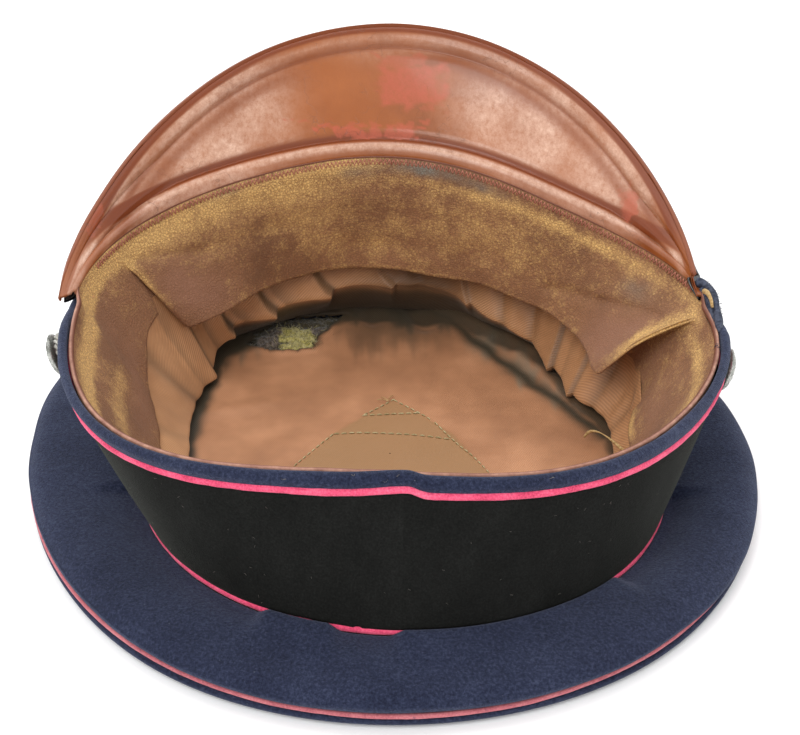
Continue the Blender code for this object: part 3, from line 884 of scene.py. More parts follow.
peak = {
    "centre": 22.0 * mm,
    # plan outline of its edge round that centre: (degrees from straight ahead, reach mm)
    "edge": ((-95.0, 104.2), (-90.0, 103.2), (-85.0, 101.8), (-80.0, 100.2), (-70.0, 97.5), (-60.0, 96.3),
             (-50.0, 96.0), (-40.0, 96.6), (-20.0, 99.2), (0.0, 101.1), (10.0, 101.0), (20.0, 100.1),
             (30.0, 98.6), (40.0, 97.1), (50.0, 95.7), (60.0, 94.9), (70.0, 94.7), (80.0, 95.3),
             (88.0, 96.2), (95.0, 97.4)),
    "baseHeight": 58.0 * mm, "climb": 0.43, "turns": (101.0, 259.5), "sag": 2.2 * mm,
    "lining": 1.0 * mm, "shell": 1.5 * mm, "seam": 1.2 * mm, "tuck": 3.2 * mm, "paintedCloth": 0.8 * mm,
    # the painted cloth turns over the lip: (mm past the edge, mm down)
    "lip": ((0.15, 0.25), (0.20, 0.75), (-0.05, 1.25)),
    # at its two ends the sheet is narrower than this, and its edge is drawn in less
    "narrow": 6 * mm,
    "underMesh": (540, 60), "outerMesh": (400, 30),
    # relief of the under side in mm: (distance, height), from the outer edge and from the seam
    "edgeRelief": ((0.0, -0.55), (0.7, -0.35), (2.0, 0.25), (3.6, 0.55), (5.4, 0.40), (6.6, -0.40),
                   (7.6, -0.85), (9.0, -0.30), (11.0, 0.0)),
    "seamRelief": ((0.0, -0.5), (0.5, -0.1), (1.0, 0.2), (2.2, 0.85), (3.4, 1.15), (4.6, 0.55),
                   (5.6, -0.85), (6.8, -1.35), (8.0, -0.85), (9.6, -0.05), (11.0, 0.0)),
}


def peakEdge(angle):
    reach = readTable(peak["edge"], math.degrees(angle)) * mm
    forward = reach * math.cos(angle)
    return Vector((reach * math.sin(angle), peak["centre"] + forward,
                   peak["baseHeight"] + peak["climb"] * forward))


def peakFrame(turn):
    # its sewn point, the way out to its edge, and the way from its brown side to its black one
    reach, level = mouthLine(turn)
    root = inSpace(turn, reach + peak["seam"], level)
    angle = math.atan2(root.x, root.y - peak["centre"])
    along = peakEdge(angle) - root
    across = Vector((math.cos(angle), -math.sin(angle), 0.0))
    away = across.cross(along).normalized()
    if away.z > 0.0:
        away = -away
    return root, along, away


def peakSag(width, share):
    # how far the sheet bows between seam and edge
    return peak["sag"] * 4.0 * share * (1.0 - share) * min(1.0, width / 0.04)


def makePeakUnder(finish):
    steps, rows = peak["underMesh"]
    start, end = (math.radians(a) for a in peak["turns"])
    grid = []
    masks = {"worn": [], "shadedGroove": [], "paintedReflection": []}
    for k in range(steps + 1):
        turn = mix(start, end, k / steps)
        root, along, away = peakFrame(turn)
        width = along.length
        squeeze = min(1.0, width / (24.0 * mm))
        fade = smooth(2.0 * mm, 14.0 * mm, width)
        line, patch, shadedGroove, reflection = [], [], [], []
        for i in range(rows):
            v = i / (rows - 1)
            fromSeam = v * width
            fromEdge = (1.0 - v) * width
            relief = readTable(peak["edgeRelief"], fromEdge / mm / squeeze)
            relief += readTable(peak["seamRelief"], fromSeam / mm / squeeze)
            point = root + along * v + away * peakSag(width, v)
            if i == 0:
                point += inSpace(turn, 0.1 * mm, -0.9 * mm)
            lumps = relief * mm * fade + 0.12 * mm * fade * rough(point, 16 * mm, 6.0)
            point = point - away * (lumps - 0.2 * mm)
            line.append(point)
            patch.append(wornPaint(point))
            # painted shade: the valleys along the edge and the seam are darkened, with a soft dark line
            # further in
            deepest = smooth(4.2, 5.2, fromSeam / mm) * smooth(9.4, 8.0, fromSeam / mm)
            deepest = max(smooth(3.1, 2.3, fromEdge / mm), deepest)
            soft = 0.5 * bump(fromEdge / mm, 11.0, 2.4) * smooth(6.0, 30.0, abs(point.x / mm + 14.0))
            soft = max(soft, 0.55 * bump(fromEdge / mm, 7.4, 1.3))
            shadedGroove.append(max(deepest, soft) * fade)
            # painted highlights on the crests between them, together with the painted reflection of the
            # lamps
            shine = 0.95 * bump(fromSeam / mm, 3.1, 1.1) + 0.40 * bump(fromEdge / mm, 4.4, 0.9)
            reflection.append(max(paintedReflectionAt(point), shine) * (1.0 - max(deepest, soft)))
        for back, down in peak["lip"]:
            past = 1.0 + back * mm / max(width, peak["narrow"])
            line.append(root + along * past + away * down * mm * mix(0.5, 1.0, fade))
            patch.append(0.0)
            # the turned lip is darkened with the same painted shade
            shadedGroove.append(0.8)
            reflection.append(0.0)
        grid.append(line)
        masks["worn"].append(patch)
        masks["shadedGroove"].append(shadedGroove)
        masks["paintedReflection"].append(reflection)
    piece = gridPiece("peakUnder", grid, finish, ("peak_lining",), around=False,
                      masks=masks)
    return thicken(piece, peak["paintedCloth"])


peakWear = {
    # rubbed salmon places on the brown paint: (x mm, y mm, half width, half depth, strength)
    "patches": ((9.3, 109.0, 10.5, 4.6, 0.85), (6.5, 115.3, 7.0, 1.2, 0.55), (-7.0, 96.6, 15.0, 0.9, 0.9),
                (-1.0, 98.4, 9.0, 0.6, 0.6), (14.0, 102.5, 5.0, 1.2, 0.5), (79.3, 58.0, 2.0, 3.4, 0.7),
                (77.4, 61.5, 1.6, 2.6, 0.4), (-94.6, 47.5, 1.3, 3.5, 0.4)),
    # painted reflection of the lamps on the left and right of the brown side: (x mm, y mm, half width, half
    # depth, strength)
    "reflection": ((-88.0, 55.0, 8.0, 16.0, 1.0), (76.0, 66.0, 10.0, 12.0, 1.0), (-60.0, 84.0, 20.0, 22.0, 1.0),
             (-44.0, 99.0, 12.0, 14.0, 0.9), (-78.0, 66.0, 12.0, 16.0, 0.75),
             (38.0, 100.0, 14.0, 13.0, 0.85), (52.0, 90.0, 18.0, 16.0, 1.0), (70.0, 74.0, 14.0, 15.0, 0.95),
             (80.0, 60.0, 10.0, 10.0, 0.7), (6.0, 118.0, 30.0, 3.0, 0.30)),
}


def wornPaint(point):
    x, y = point.x / mm, point.y / mm
    total = 0.0
    for px, py, wide, deep, strength in peakWear["patches"]:
        away = max(abs((x - px) / wide), abs((y - py) / deep))
        if away < 1.9:
            ragged = 1.6 * rough((x, y, 0.0), 5.0, 3.0) + 1.3 * rough((0.5 * x, y, 0.0), 1.1, 8.0)
            total = max(total, strength * smooth(1.25, 0.75, away + ragged / min(wide, deep)))
    return total


# how much painted reflection of the lamps falls at a point
def paintedReflectionAt(point):
    x, y = point.x / mm, point.y / mm
    total = 0.0
    for px, py, wide, deep, strength in peakWear["reflection"]:
        total = max(total, strength * math.exp(-((x - px) / wide) ** 2 - ((y - py) / deep) ** 2))
    return total * (1.0 + 0.5 * rough((x, y, 0.0), 9.0, 4.0))


def makePeakShell(finish):
    steps, rows = peak["outerMesh"]
    start, end = (math.radians(a) for a in peak["turns"])
    inner = peak["lining"] + 0.45 * mm
    grid = []
    for k in range(steps + 1):
        turn = mix(start, end, k / steps)
        root, along, away = peakFrame(turn)
        width = along.length
        outer = inner + peak["shell"] * mix(0.45, 1.0, smooth(4.0 * mm, 16.0 * mm, width))
        # its sewn edge goes down behind the rim cloth
        tucked = Vector((0.0, 0.0, -peak["tuck"] * smooth(2.0 * mm, 8.0 * mm, width)))
        line = [root + away * outer + tucked]
        for i in range(rows):
            v = i / (rows - 1)
            place = v * (1.0 - 0.5 * mm / max(width, peak["narrow"]))
            line.append(root + along * place + away * (outer + peakSag(width, v)))
        # round its edge: (height, mm back from the edge)
        for lift, back in ((outer - 0.3 * mm, 0.2), (mix(inner, outer, 0.5), 0.15), (inner + 0.1 * mm, 0.5),
                           (inner, 1.0)):
            line.append(root + along * (1.0 - back * mm / max(width, peak["narrow"])) + away * lift)
        for v in (0.66, 0.33, 0.0):
            line.append(root + along * v + away * (inner + peakSag(width, v)))
        line.append(root + away * inner + tucked)
        grid.append(line)
    return gridPiece("peakOuter", grid, finish, ("peak",), around=False, across=True,
                     flip=True)


def makeBrownLacquer():
    look = {"deep": (0.225, 0.060, 0.012), "mid": (0.305, 0.086, 0.019), "pale": (0.365, 0.110, 0.028),
            "salmon": (0.42, 0.085, 0.040),
            "shadedGroove": (0.170, 0.030, 0.002), "paintedReflection": (0.67, 0.435, 0.325), "crack": (0.100, 0.040, 0.020)}
    finish, tree, shader, where = newFinish("brown peak lacquer", {
        "Specular IOR Level": 0.38, "Coat Weight": 0.22, "Coat Roughness": 0.14, "Coat IOR": 1.5})
    broad = noiseOf(tree, 30.0, where, 4.0, 0.6)
    fine = noiseOf(tree, 900.0, where, 4.0, 0.7)
    body = toneOf(tree, broad, look, (0.30, 0.50, 0.72))
    body = mixOf(tree, times(tree, fine, 0.30), body, look["deep"])
    scuffs = noiseOf(tree, 520.0, where, 5.0, 0.8, (1.0, 0.55, 1.0))
    # painted reflection of the lamps, mottled by scuffs
    reflectionShare = times(tree, maskOf(tree, "paintedReflection"), fadeOf(tree, scuffs, 0.30, 0.70, 0.25), True)
    body = mixOf(tree, reflectionShare, body, look["paintedReflection"])
    # painted shade in the grooves
    body = mixOf(tree, times(tree, maskOf(tree, "shadedGroove"), 0.95), body, look["shadedGroove"])
    chalk = fadeOf(tree, scuffs, 0.30, 0.60, 0.45)
    worn = mixOf(tree, times(tree, maskOf(tree, "worn"), chalk), body, look["salmon"])
    warp = put(tree, "TexNoise", {"Vector": where, "Scale": 70.0, "Detail": 3.0}).outputs["Color"]
    bent = mixOf(tree, 0.04, where, warp, "ADD")
    cracks = put(tree, "TexVoronoi", {"Vector": bent, "Scale": 95.0},
                 feature="DISTANCE_TO_EDGE").outputs["Distance"]
    thin = fadeOf(tree, cracks, 0.0, 0.016, 1.0, 0.0)
    some = fadeOf(tree, noiseOf(tree, 48.0, where, 2.0), 0.50, 0.60)
    cracked = times(tree, thin, some)
    specks = fadeOf(tree, noiseOf(tree, 1300.0, where, 3.0, 0.7), 0.66, 0.74)
    marked = mixOf(tree, times(tree, cracked, 0.45), worn, look["crack"])
    feed(tree, shader, mixOf(tree, times(tree, specks, 0.35), marked, look["crack"]))
    feed(tree, shader, fadeOf(tree, fine, 0.3, 0.7, 0.30, 0.44), "Roughness")
    ripple = noiseOf(tree, 260.0, where, 3.0, 0.6)
    first = dent(tree, shader, ripple, 0.12 * mm, 0.5)
    second = dent(tree, shader, fine, 0.05 * mm, 0.5, first)
    dent(tree, shader, minus(tree, 1.0, cracked), 0.12 * mm, 0.5, second)
    return finish


def makeBlackLacquer():
    look = {"deep": (0.005, 0.005, 0.006), "pale": (0.013, 0.013, 0.014), "gloss": (0.16, 0.34)}
    finish, tree, shader, where = newFinish("black peak lacquer", {
        "Specular IOR Level": 0.5, "Coat Weight": 0.8, "Coat Roughness": 0.08, "Coat IOR": 1.5})
    broad = noiseOf(tree, 40.0, where, 4.0)
    feed(tree, shader, rampOf(tree, broad, ((0.3, look["deep"]), (0.7, look["pale"]))))
    smear = noiseOf(tree, 160.0, where, 4.0, 0.6, (1.0, 0.3, 1.0))
    feed(tree, shader, fadeOf(tree, smear, 0.35, 0.7, *look["gloss"]), "Roughness")
    dent(tree, shader, noiseOf(tree, 210.0, where, 3.0), 0.05 * mm, 0.4)
    return finish


makePeakUnder(makeBrownLacquer())
makePeakShell(makeBlackLacquer())
print("peak is made")


# leather sweatband

sweat = {
    "mesh": (860, 48), "beadMesh": (800, 10),
    "thickness": 1.0 * mm, "topDrop": 2.7 * mm,
    "beadRadius": 0.80 * mm, "beadInset": 1.5 * mm, "beadDrop": 1.2 * mm,
    "degreeWide": 1.5, "panelTall": 44.0,
    # the hem, a row for each place that shapes it, from the back by the right side:
    # (turn of the same place at the top, x mm, y mm, height mm,
    # how far down a fold opens mm, bow upward mm)
    "hem": (
        (0.0, 0.0, -86.0, 21.5, 5.0, 0.0),
        (28.0, 40.0, -72.0, 20.0, 5.0, 0.0),
        (54.0, 65.0, -41.0, 17.0, 5.0, 0.0),
        (73.0, 74.2, -14.0, 16.5, 5.0, 0.0),
        (85.0, 75.6, 2.0, 16.5, 4.5, 0.0),
        (91.0, 78.0, 14.5, 17.6, 3.5, 0.0),
        (94.2, 78.4, 24.0, 21.0, 3.0, 0.0),
        (95.8, 77.8, 32.0, 25.5, 2.5, 0.0),
        (96.6, 74.0, 37.0, 29.0, 2.5, 0.0),
        (97.0, 70.6, 32.5, 29.8, 2.5, 0.8),
        (97.3, 69.2, 24.0, 29.4, 2.5, 1.6),
        (97.7, 67.8, 17.6, 28.6, 2.5, 2.2),
        (98.6, 65.4, 18.8, 28.0, 2.6, 2.2),
        (101.0, 64.3, 25.0, 27.8, 3.0, 1.8),
        (106.5, 63.6, 33.0, 28.0, 4.0, 1.0),
        (116.0, 61.2, 43.0, 28.0, 5.0, 0.4),
        (129.0, 53.3, 56.2, 28.0, 5.0, 0.0),
        (140.0, 45.5, 64.1, 28.0, 5.0, 0.0),
        (153.0, 31.5, 75.4, 28.0, 5.0, 0.0),
        (165.0, 18.8, 80.0, 28.0, 5.0, 0.0),
        (177.0, 5.4, 84.6, 28.0, 5.0, 0.0),
        (190.0, -11.6, 86.3, 28.0, 5.0, 0.0),
        (201.0, -24.6, 82.4, 28.0, 5.0, 0.0),
        (212.5, -38.1, 74.2, 28.0, 5.0, 0.0),
        (223.5, -47.6, 63.6, 28.0, 5.0, 0.0),
        (233.0, -55.6, 54.8, 28.0, 5.5, 0.0),
        (238.6, -60.8, 50.4, 27.7, 6.0, 0.0),
        (241.4, -64.6, 48.4, 27.5, 6.0, 0.0),
        (242.6, -67.0, 49.6, 28.3, 6.0, 0.0),
        (243.2, -67.9, 53.0, 30.5, 6.0, 0.0),
        (243.8, -69.4, 55.4, 33.0, 6.0, 0.0),
        (244.6, -72.4, 50.5, 34.4, 6.0, 0.0),
        (246.0, -75.8, 43.6, 33.6, 6.0, 0.0),
        (248.4, -78.0, 37.3, 31.6, 6.0, 0.0),
        (251.8, -78.3, 31.6, 27.0, 6.0, 0.0),
        (256.5, -77.6, 22.5, 21.0, 5.5, 0.0),
        (262.0, -75.4, 13.5, 18.0, 5.0, 0.0),
        (269.0, -73.1, 3.0, 16.8, 5.0, 0.0),
        (279.0, -72.2, -8.0, 17.0, 5.0, 0.0),
        (299.0, -67.0, -37.0, 17.5, 5.0, 0.0),
        (330.0, -43.0, -73.0, 20.0, 5.0, 0.0),
    ),
    # dents of the panel: (from turn, share down, to turn, share down, width mm, depth mm)
    "dents": ((240.0, 0.22, 226.0, 0.46, 2.6, 0.9), (226.0, 0.46, 206.0, 0.50, 4.0, 0.5),
              (134.0, 0.78, 118.0, 0.62, 2.6, 0.9), (118.0, 0.62, 101.0, 0.36, 2.2, 0.9),
              (200.0, 0.30, 165.0, 0.36, 5.0, -0.5), (190.0, 0.80, 150.0, 0.72, 5.0, 0.6)),
    # soft places on the leather: (turn at the top, share down, spread in degrees, spread down, amount)
    "rubbed": ((247.0, 0.10, 12.0, 0.10, 1.0), (228.0, 0.12, 15.0, 0.14, 0.95),
               (203.0, 0.14, 15.0, 0.14, 0.80), (190.0, 0.05, 10.0, 0.06, 0.9),
               (165.0, 0.20, 20.0, 0.05, 0.35), (243.2, 0.20, 3.0, 0.16, 0.5),
               (241.9, 0.45, 1.0, 0.32, 0.75), (150.0, 0.17, 17.0, 0.06, 0.55),
               (126.0, 0.17, 15.0, 0.06, 0.75), (104.0, 0.10, 7.0, 0.06, 0.55),
               (98.8, 0.34, 2.4, 0.26, 1.1), (99.2, 0.68, 2.0, 0.24, 0.7), (208.0, 0.42, 22.0, 0.24, 0.34),
               (150.0, 0.45, 26.0, 0.26, 0.36), (180.0, 0.70, 24.0, 0.20, 0.25),
               (262.0, 0.16, 13.0, 0.075, 1.5), (284.0, 0.16, 13.0, 0.07, 1.5),
               (303.0, 0.16, 14.0, 0.07, 1.1), (270.0, 0.50, 8.0, 0.09, 0.50),
               (286.0, 0.50, 12.0, 0.10, 0.60), (90.0, 0.19, 6.0, 0.07, 0.85), (86.5, 0.97, 4.5, 0.05, 1.2),
               (78.0, 0.20, 9.0, 0.07, 0.75), (60.0, 0.22, 12.0, 0.08, 0.5),
               (178.0, 1.0, 50.0, 0.03, 0.35)),
    "smooth": ((236.0, 0.62, 6.0, 0.26, 1.0), (229.0, 0.82, 8.0, 0.20, 0.8), (108.0, 0.80, 9.0, 0.26, 1.0),
               (102.0, 0.66, 3.5, 0.30, 0.8), (266.0, 0.80, 18.0, 0.16, 0.7), (255.0, 0.45, 6.0, 0.25, 0.5),
               (80.0, 0.70, 16.0, 0.22, 0.5)),
    "stained": ((171.0, 0.08, 8.0, 0.05, 1.1), (158.0, 0.11, 6.0, 0.05, 0.5), (186.0, 0.11, 4.0, 0.06, 0.5),
                (113.0, 0.34, 4.0, 0.10, 0.55), (216.0, 0.05, 4.0, 0.04, 0.3)),
}


def sweatSections():
    # the rows of the hem table, joined by a smooth closed line and read evenly along the leather
    rows = [Vector(row) for row in sweat["hem"]]
    whole = Vector((360.0, 0.0, 0.0, 0.0, 0.0, 0.0))
    loop = [rows[-2] - whole, rows[-1] - whole] + rows + [rows[0] + whole, rows[1] + whole, rows[2] + whole]
    fine = 40
    dense = curveThrough(loop, (len(loop) - 1) * fine + 1)[2 * fine:-2 * fine]
    lengths = [0.0]
    for a, b in zip(dense, dense[1:]):
        lengths.append(lengths[-1] + abs(b[0] - a[0]) + (Vector(b[1:4]) - Vector(a[1:4])).length)
    return dense, lengths


def sectionsEvenly(count):
    dense, lengths = sweatSections()
    found, i = [], 0
    for k in range(count):
        where = lengths[-1] * k / count
        while lengths[i + 1] < where:
            i += 1
        f = (where - lengths[i]) / max(1e-9, lengths[i + 1] - lengths[i])
        found.append(dense[i] * (1.0 - f) + dense[i + 1] * f)
    return found


def peakShare(turnDegrees):
    # 1 where the leather's top edge is sewn to the peak, 0 round the rest of the mouth
    return smooth(83.0, 77.0, abs(degreesApart(turnDegrees, 180.0)))


def leatherTop(turnDegrees):
    turn = math.radians(turnDegrees)
    reach, level = mouthLine(turn)
    front = peakShare(turnDegrees)
    drop = mix(sweat["topDrop"], 0.45 * mm, front)
    return inSpace(turn, reach - mix(2.0, -0.7, front) * mm, level - drop)


def leatherKnee(turnDegrees, opens):
    # where the leather has rolled over the edge and hangs
    turn = math.radians(turnDegrees)
    reach = mouthLine(turn)[0]
    top = leatherTop(turnDegrees)
    down = (inSpace(turn, 0.84 * reach, 22.0 * mm) - top).normalized()
    return top + down * opens * mm + inSpace(turn, (peakShare(turnDegrees) - 0.5) * 0.6 * mm, 0.3 * mm)


def leatherLine(section, rows):
    turnDegrees, x, y, z, opens, bow = section
    top, knee, hem = leatherTop(turnDegrees), leatherKnee(turnDegrees, opens), Vector((x, y, z)) * mm
    wall = 1.0 - peakShare(turnDegrees)
    middle = (knee + hem) / 2 + Vector((0.0, 0.0, bow * mm))
    middle -= inSpace(math.radians(turnDegrees), 1.3 * mm * wall, 0.0)
    line = curveThrough([top, knee, middle, hem], 3 * rows)
    lengths = [0.0]
    for a, b in zip(line, line[1:]):
        lengths.append(lengths[-1] + (b - a).length)
    found, i = [], 0
    for k in range(rows):
        where = lengths[-1] * k / (rows - 1)
        while i < len(line) - 2 and lengths[i + 1] < where:
            i += 1
        f = (where - lengths[i]) / max(1e-9, lengths[i + 1] - lengths[i])
        found.append(line[i].lerp(line[i + 1], min(1.0, f)))
    return found


def softPlaces(table, turnDegrees, down):
    total = 0.0
    for turn, place, spreadTurn, spreadDown, amount in table:
        away = degreesApart(turnDegrees, turn) / spreadTurn
        if abs(away) < 2.6:
            total += amount * math.exp(-away * away - ((down - place) / spreadDown) ** 2)
    return total


def leatherDent(turnDegrees, down):
    # depth in mm of the panel's dents, which are laid out in mm across and down the panel
    total = 0.0
    for turn0, down0, turn1, down1, width, depth in sweat["dents"]:
        dx, dy = (turn1 - turn0) * sweat["degreeWide"], (down1 - down0) * sweat["panelTall"]
        px, py = (turnDegrees - turn0) * sweat["degreeWide"], (down - down0) * sweat["panelTall"]
        away = toStretch(px, py, 0.0, 0.0, dx, dy) / width
        if away < 2.5:
            total += depth * math.exp(-away * away)
    return total


def makeSweatLeather():
    steps, rows = sweat["mesh"]
    # each mask: (its table, most, amount, share of it that is speckled)
    marks = {"wear": ("rubbed", 1.2, 1.0, 0.3), "stainAndShade": ("stained", 1.0, 0.8, 0.9),
             "smooth": ("smooth", 1.0, 0.9, 0.4)}
    grid = []
    masks = {key: [] for key in marks}
    for section in sectionsEvenly(steps):
        turnDegrees = section[0]
        turn = math.radians(turnDegrees)
        line = []
        for values in masks.values():
            values.append([])
        for i, point in enumerate(leatherLine(section, rows)):
            down = i / (rows - 1)
            loose = smooth(0.04, 0.45, down)
            soft = 0.55 * rough(point, 24 * mm, 3.0) + 0.30 * rough(point, 9 * mm, 7.0)
            soft += 0.10 * rough(point, 3.2 * mm, 9.0)
            off = loose * soft + leatherDent(turnDegrees, down) * loose
            point = point + inSpace(turn, off * mm, -0.35 * off * mm)
            point.z += 0.45 * mm * loose * down * rough(point, 13 * mm, 12.0)
            line.append(point)
            speckle = 0.5 * rough(point, 6 * mm, 2.0) + 0.4 * rough(point, 2.2 * mm, 4.0)
            for key, (table, most, amount, speckled) in marks.items():
                mark = softPlaces(sweat[table], turnDegrees, down) * (amount + speckled * speckle)
                masks[key][-1].append(min(most, max(0.0, mark)))
        grid.append(line)
    piece = gridPiece("sweatLeather", grid, bandLeather, ("sweatband",), masks=masks)
    return thicken(piece, sweat["thickness"])


def makeBeadLeather():
    look = {"deep": (0.24, 0.105, 0.070), "mid": (0.38, 0.185, 0.130), "pale": (0.52, 0.29, 0.20),
            "shadedGroove": (0.135, 0.040, 0.020)}
    finish, tree, shader, where = newFinish("rolled edge leather", {
        "Roughness": 0.5, "Specular IOR Level": 0.35})
    tone = noiseOf(tree, 260.0, where, 4.0, 0.65)
    rolled = toneOf(tree, tone, look, (0.32, 0.52, 0.72))
    # painted shade on the half of the bead that turns in toward the leather
    feed(tree, shader, mixOf(tree, maskOf(tree, "shadedGroove"), rolled, look["shadedGroove"]))
    dent(tree, shader, noiseOf(tree, 900.0, where, 3.0), 0.12 * mm, 0.6)
    return finish


def makeMouthBead(finish):
    steps, sides = sweat["beadMesh"]
    grid, shadedGrooves = [], []
    for k in range(steps):
        turn = tau * k / steps
        reach, level = mouthLine(turn)
        here = inSpace(turn, reach, level)
        front = peakShare(math.degrees(turn))
        r = reach - mix(sweat["beadInset"], -1.0 * mm, front) + 0.10 * mm * rough(here, 9 * mm, 5.0)
        z = level - mix(sweat["beadDrop"], 0.35 * mm, front) + 0.12 * mm * rough(here, 12 * mm, 8.0)
        size = mix(sweat["beadRadius"], 0.35 * mm, front) * (1.0 + 0.08 * rough(here, 4 * mm, 2.0))
        line, shadedGroove = [], []
        for i in range(sides):
            a = -tau * i / sides
            line.append(inSpace(turn, r + size * math.cos(a), z + size * math.sin(a)))
            # painted shade on its inner half
            shadedGroove.append(smooth(-0.1, 0.4, -math.cos(a)))
        grid.append(line)
        shadedGrooves.append(shadedGroove)
    return gridPiece("mouthBead", grid, finish, ("sweatband_bead",), across=True, flip=True,
                     masks={"shadedGroove": shadedGrooves})


makeSweatLeather()
makeMouthBead(makeBeadLeather())
print("sweatband is made")


# lining

liner = {
    "sideMesh": (900, 44), "crownMesh": (540, 124),
    "thickness": 0.45 * mm, "discLevel": 5.6 * mm, "discForward": 6.0 * mm,
    "discHalfWide": 0.099, "discHalfLong": 0.106,
    # above wallFrom the side lining keeps a gap to the band, and it hangs no lower than lowest
    "wallFrom": 14.0 * mm, "wallGap": 0.7 * mm, "lowest": 3.0 * mm,
    # where the side lining comes out from behind the leather: (turn, reach mm, height mm)
    "start": ((0.0, 87.0, 22.5), (30.0, 83.5, 21.0), (60.0, 78.5, 17.8), (80.0, 76.8, 17.4),
              (91.0, 77.4, 17.6), (97.0, 79.0, 18.6), (103.0, 81.0, 21.2), (107.5, 83.2, 23.5),
              (112.5, 85.4, 28.0), (120.0, 86.5, 33.0), (132.0, 88.0, 34.0), (150.0, 90.5, 34.0),
              (180.0, 92.5, 34.0), (210.0, 91.5, 34.0), (225.0, 89.0, 34.5), (232.0, 88.4, 36.0),
              (240.0, 88.6, 35.5), (244.5, 87.5, 33.0), (248.0, 85.5, 28.5), (254.0, 81.9, 22.4),
              (260.0, 78.3, 19.2), (267.5, 75.3, 18.0), (276.0, 74.9, 18.0), (299.0, 78.8, 18.6),
              (330.0, 86.8, 21.2)),
    # its lowest roll: (turn, reach mm, height mm)
    "roll": ((0.0, 76.0, 12.0), (40.0, 71.0, 10.5), (70.0, 69.0, 9.5), (96.0, 72.0, 9.5),
             (108.0, 73.5, 9.8), (119.0, 71.0, 10.0), (133.0, 76.5, 11.0), (143.0, 81.5, 12.5),
             (157.0, 85.5, 15.5), (164.0, 90.0, 19.0), (178.0, 89.5, 20.5), (184.0, 90.5, 20.5),
             (195.0, 88.5, 19.0), (208.0, 86.0, 17.0), (217.0, 87.0, 15.0), (222.0, 84.0, 12.0),
             (229.0, 77.0, 10.0), (236.0, 73.0, 10.0), (243.0, 70.0, 10.0), (253.0, 67.0, 10.0),
             (271.0, 64.0, 10.0), (290.0, 66.0, 10.0), (325.0, 72.0, 10.5)),
    # folds of the hanging cloth, each rising to a sharp end:
    # (turn of the sharp end at the top, the same at the roll, degrees wide, mm inward)
    "facets": ((233.5, 229.0, 7.0, 2.6), (224.0, 217.0, 5.5, 3.8), (214.5, 206.0, 7.5, 3.2),
               (200.5, 192.0, 11.0, 3.0), (187.5, 178.0, 10.0, 1.8), (166.0, 161.0, 8.0, 2.0),
               (137.5, 133.5, 9.0, 2.4), (127.0, 121.5, 7.0, 2.0)),
    # soft folds of the crown lining, in mm: (x, y of one end, x, y of the other, width, height)
    "discFolds": ((22.0, 98.0, 38.0, 78.0, 4.0, 2.2), (34.0, 96.0, 52.0, 68.0, 4.0, 1.8),
                  (46.0, 66.0, 66.0, 34.0, 4.0, 1.2), (-60.0, 30.0, -40.0, 36.0, 4.0, 0.5),
                  (8.0, 100.0, 14.0, 84.0, 3.0, -1.2), (-6.0, 100.0, -4.0, 88.0, 3.0, -1.0)),
    # soft pleats: (turn at the top, turn at the roll, width in degrees, depth mm)
    "pleats": ((268.0, 262.0, 2.2, 1.0), (250.0, 243.0, 1.7, 2.0), (175.5, 172.0, 1.5, 2.0),
               (156.0, 151.5, 1.6, 1.8), (147.0, 143.0, 1.3, 1.5), (117.0, 113.0, 1.5, 1.4),
               (104.0, 101.0, 1.6, 1.2), (80.0, 78.0, 2.6, 1.8), (60.0, 62.0, 3.0, 2.2),
               (38.0, 36.0, 3.0, 2.2), (15.0, 12.0, 3.0, 2.0), (-8.0, -6.0, 3.0, 2.2),
               (-30.0, -33.0, 3.0, 2.2), (-52.0, -50.0, 3.0, 2.2), (-72.0, -74.0, 2.6, 1.6)),
}


def readPair(table, turnDegrees):
    reach = readTable([(turn, amount) for turn, amount, _ in table], turnDegrees, 360.0)
    return reach * mm, readTable([(turn, amount) for turn, _, amount in table], turnDegrees, 360.0) * mm


def pleatDepth(turnDegrees, down):
    # mm outward in the pleats' valleys and inward on their crests, at a share of the way to the roll
    total = 0.0
    for top, low, width, depth in liner["pleats"]:
        away = degreesApart(turnDegrees, mix(top, low, down))
        if abs(away) < 5.0 * width:
            crest = 1.3 * width
            left, right = (0.42 * math.exp(-((away + side * width) / crest) ** 2) for side in (-2.0, 2.0))
            shape = math.exp(-(away / width) ** 2) - left - right
            total += depth * mix(1.0, 0.25, smooth(0.55, 1.0, down)) * shape
    for top, low, width, depth in liner["facets"]:
        away = degreesApart(turnDegrees, mix(top, low, down))
        if 0.0 <= away < width:
            total -= depth * (1.0 - away / width) ** 1.3
        elif -0.9 < away < 0.0:
            total -= depth * smooth(-0.9, 0.0, away)
    return total


def creaseShade(turnDegrees, down):
    # darkness in the sharp steps of the hanging folds
    total = 0.0
    for top, low, width, depth in liner["facets"]:
        away = degreesApart(turnDegrees, mix(top, low, down))
        if -2.6 < away < width:
            shade = math.exp(-((away + 0.75) / 0.8) ** 2) + 0.45 * smooth(0.45 * width, width, away)
            total = max(total, shade * depth / 3.8)
    for top, low, width, depth in liner["pleats"]:
        away = degreesApart(turnDegrees, mix(top, low, down)) / width
        if abs(away) < 2.5:
            total = max(total, 0.45 * depth / 2.0 * math.exp(-away * away))
    return total


def insideBand(turn, height):
    # reach of the band's inner face at a height
    topHeight, lowHeight = mouthLine(turn)[1], jointLine(turn)[1]
    return onBand(turn, (topHeight - height) / (topHeight - lowHeight), -velvetBand["wall"])[0]


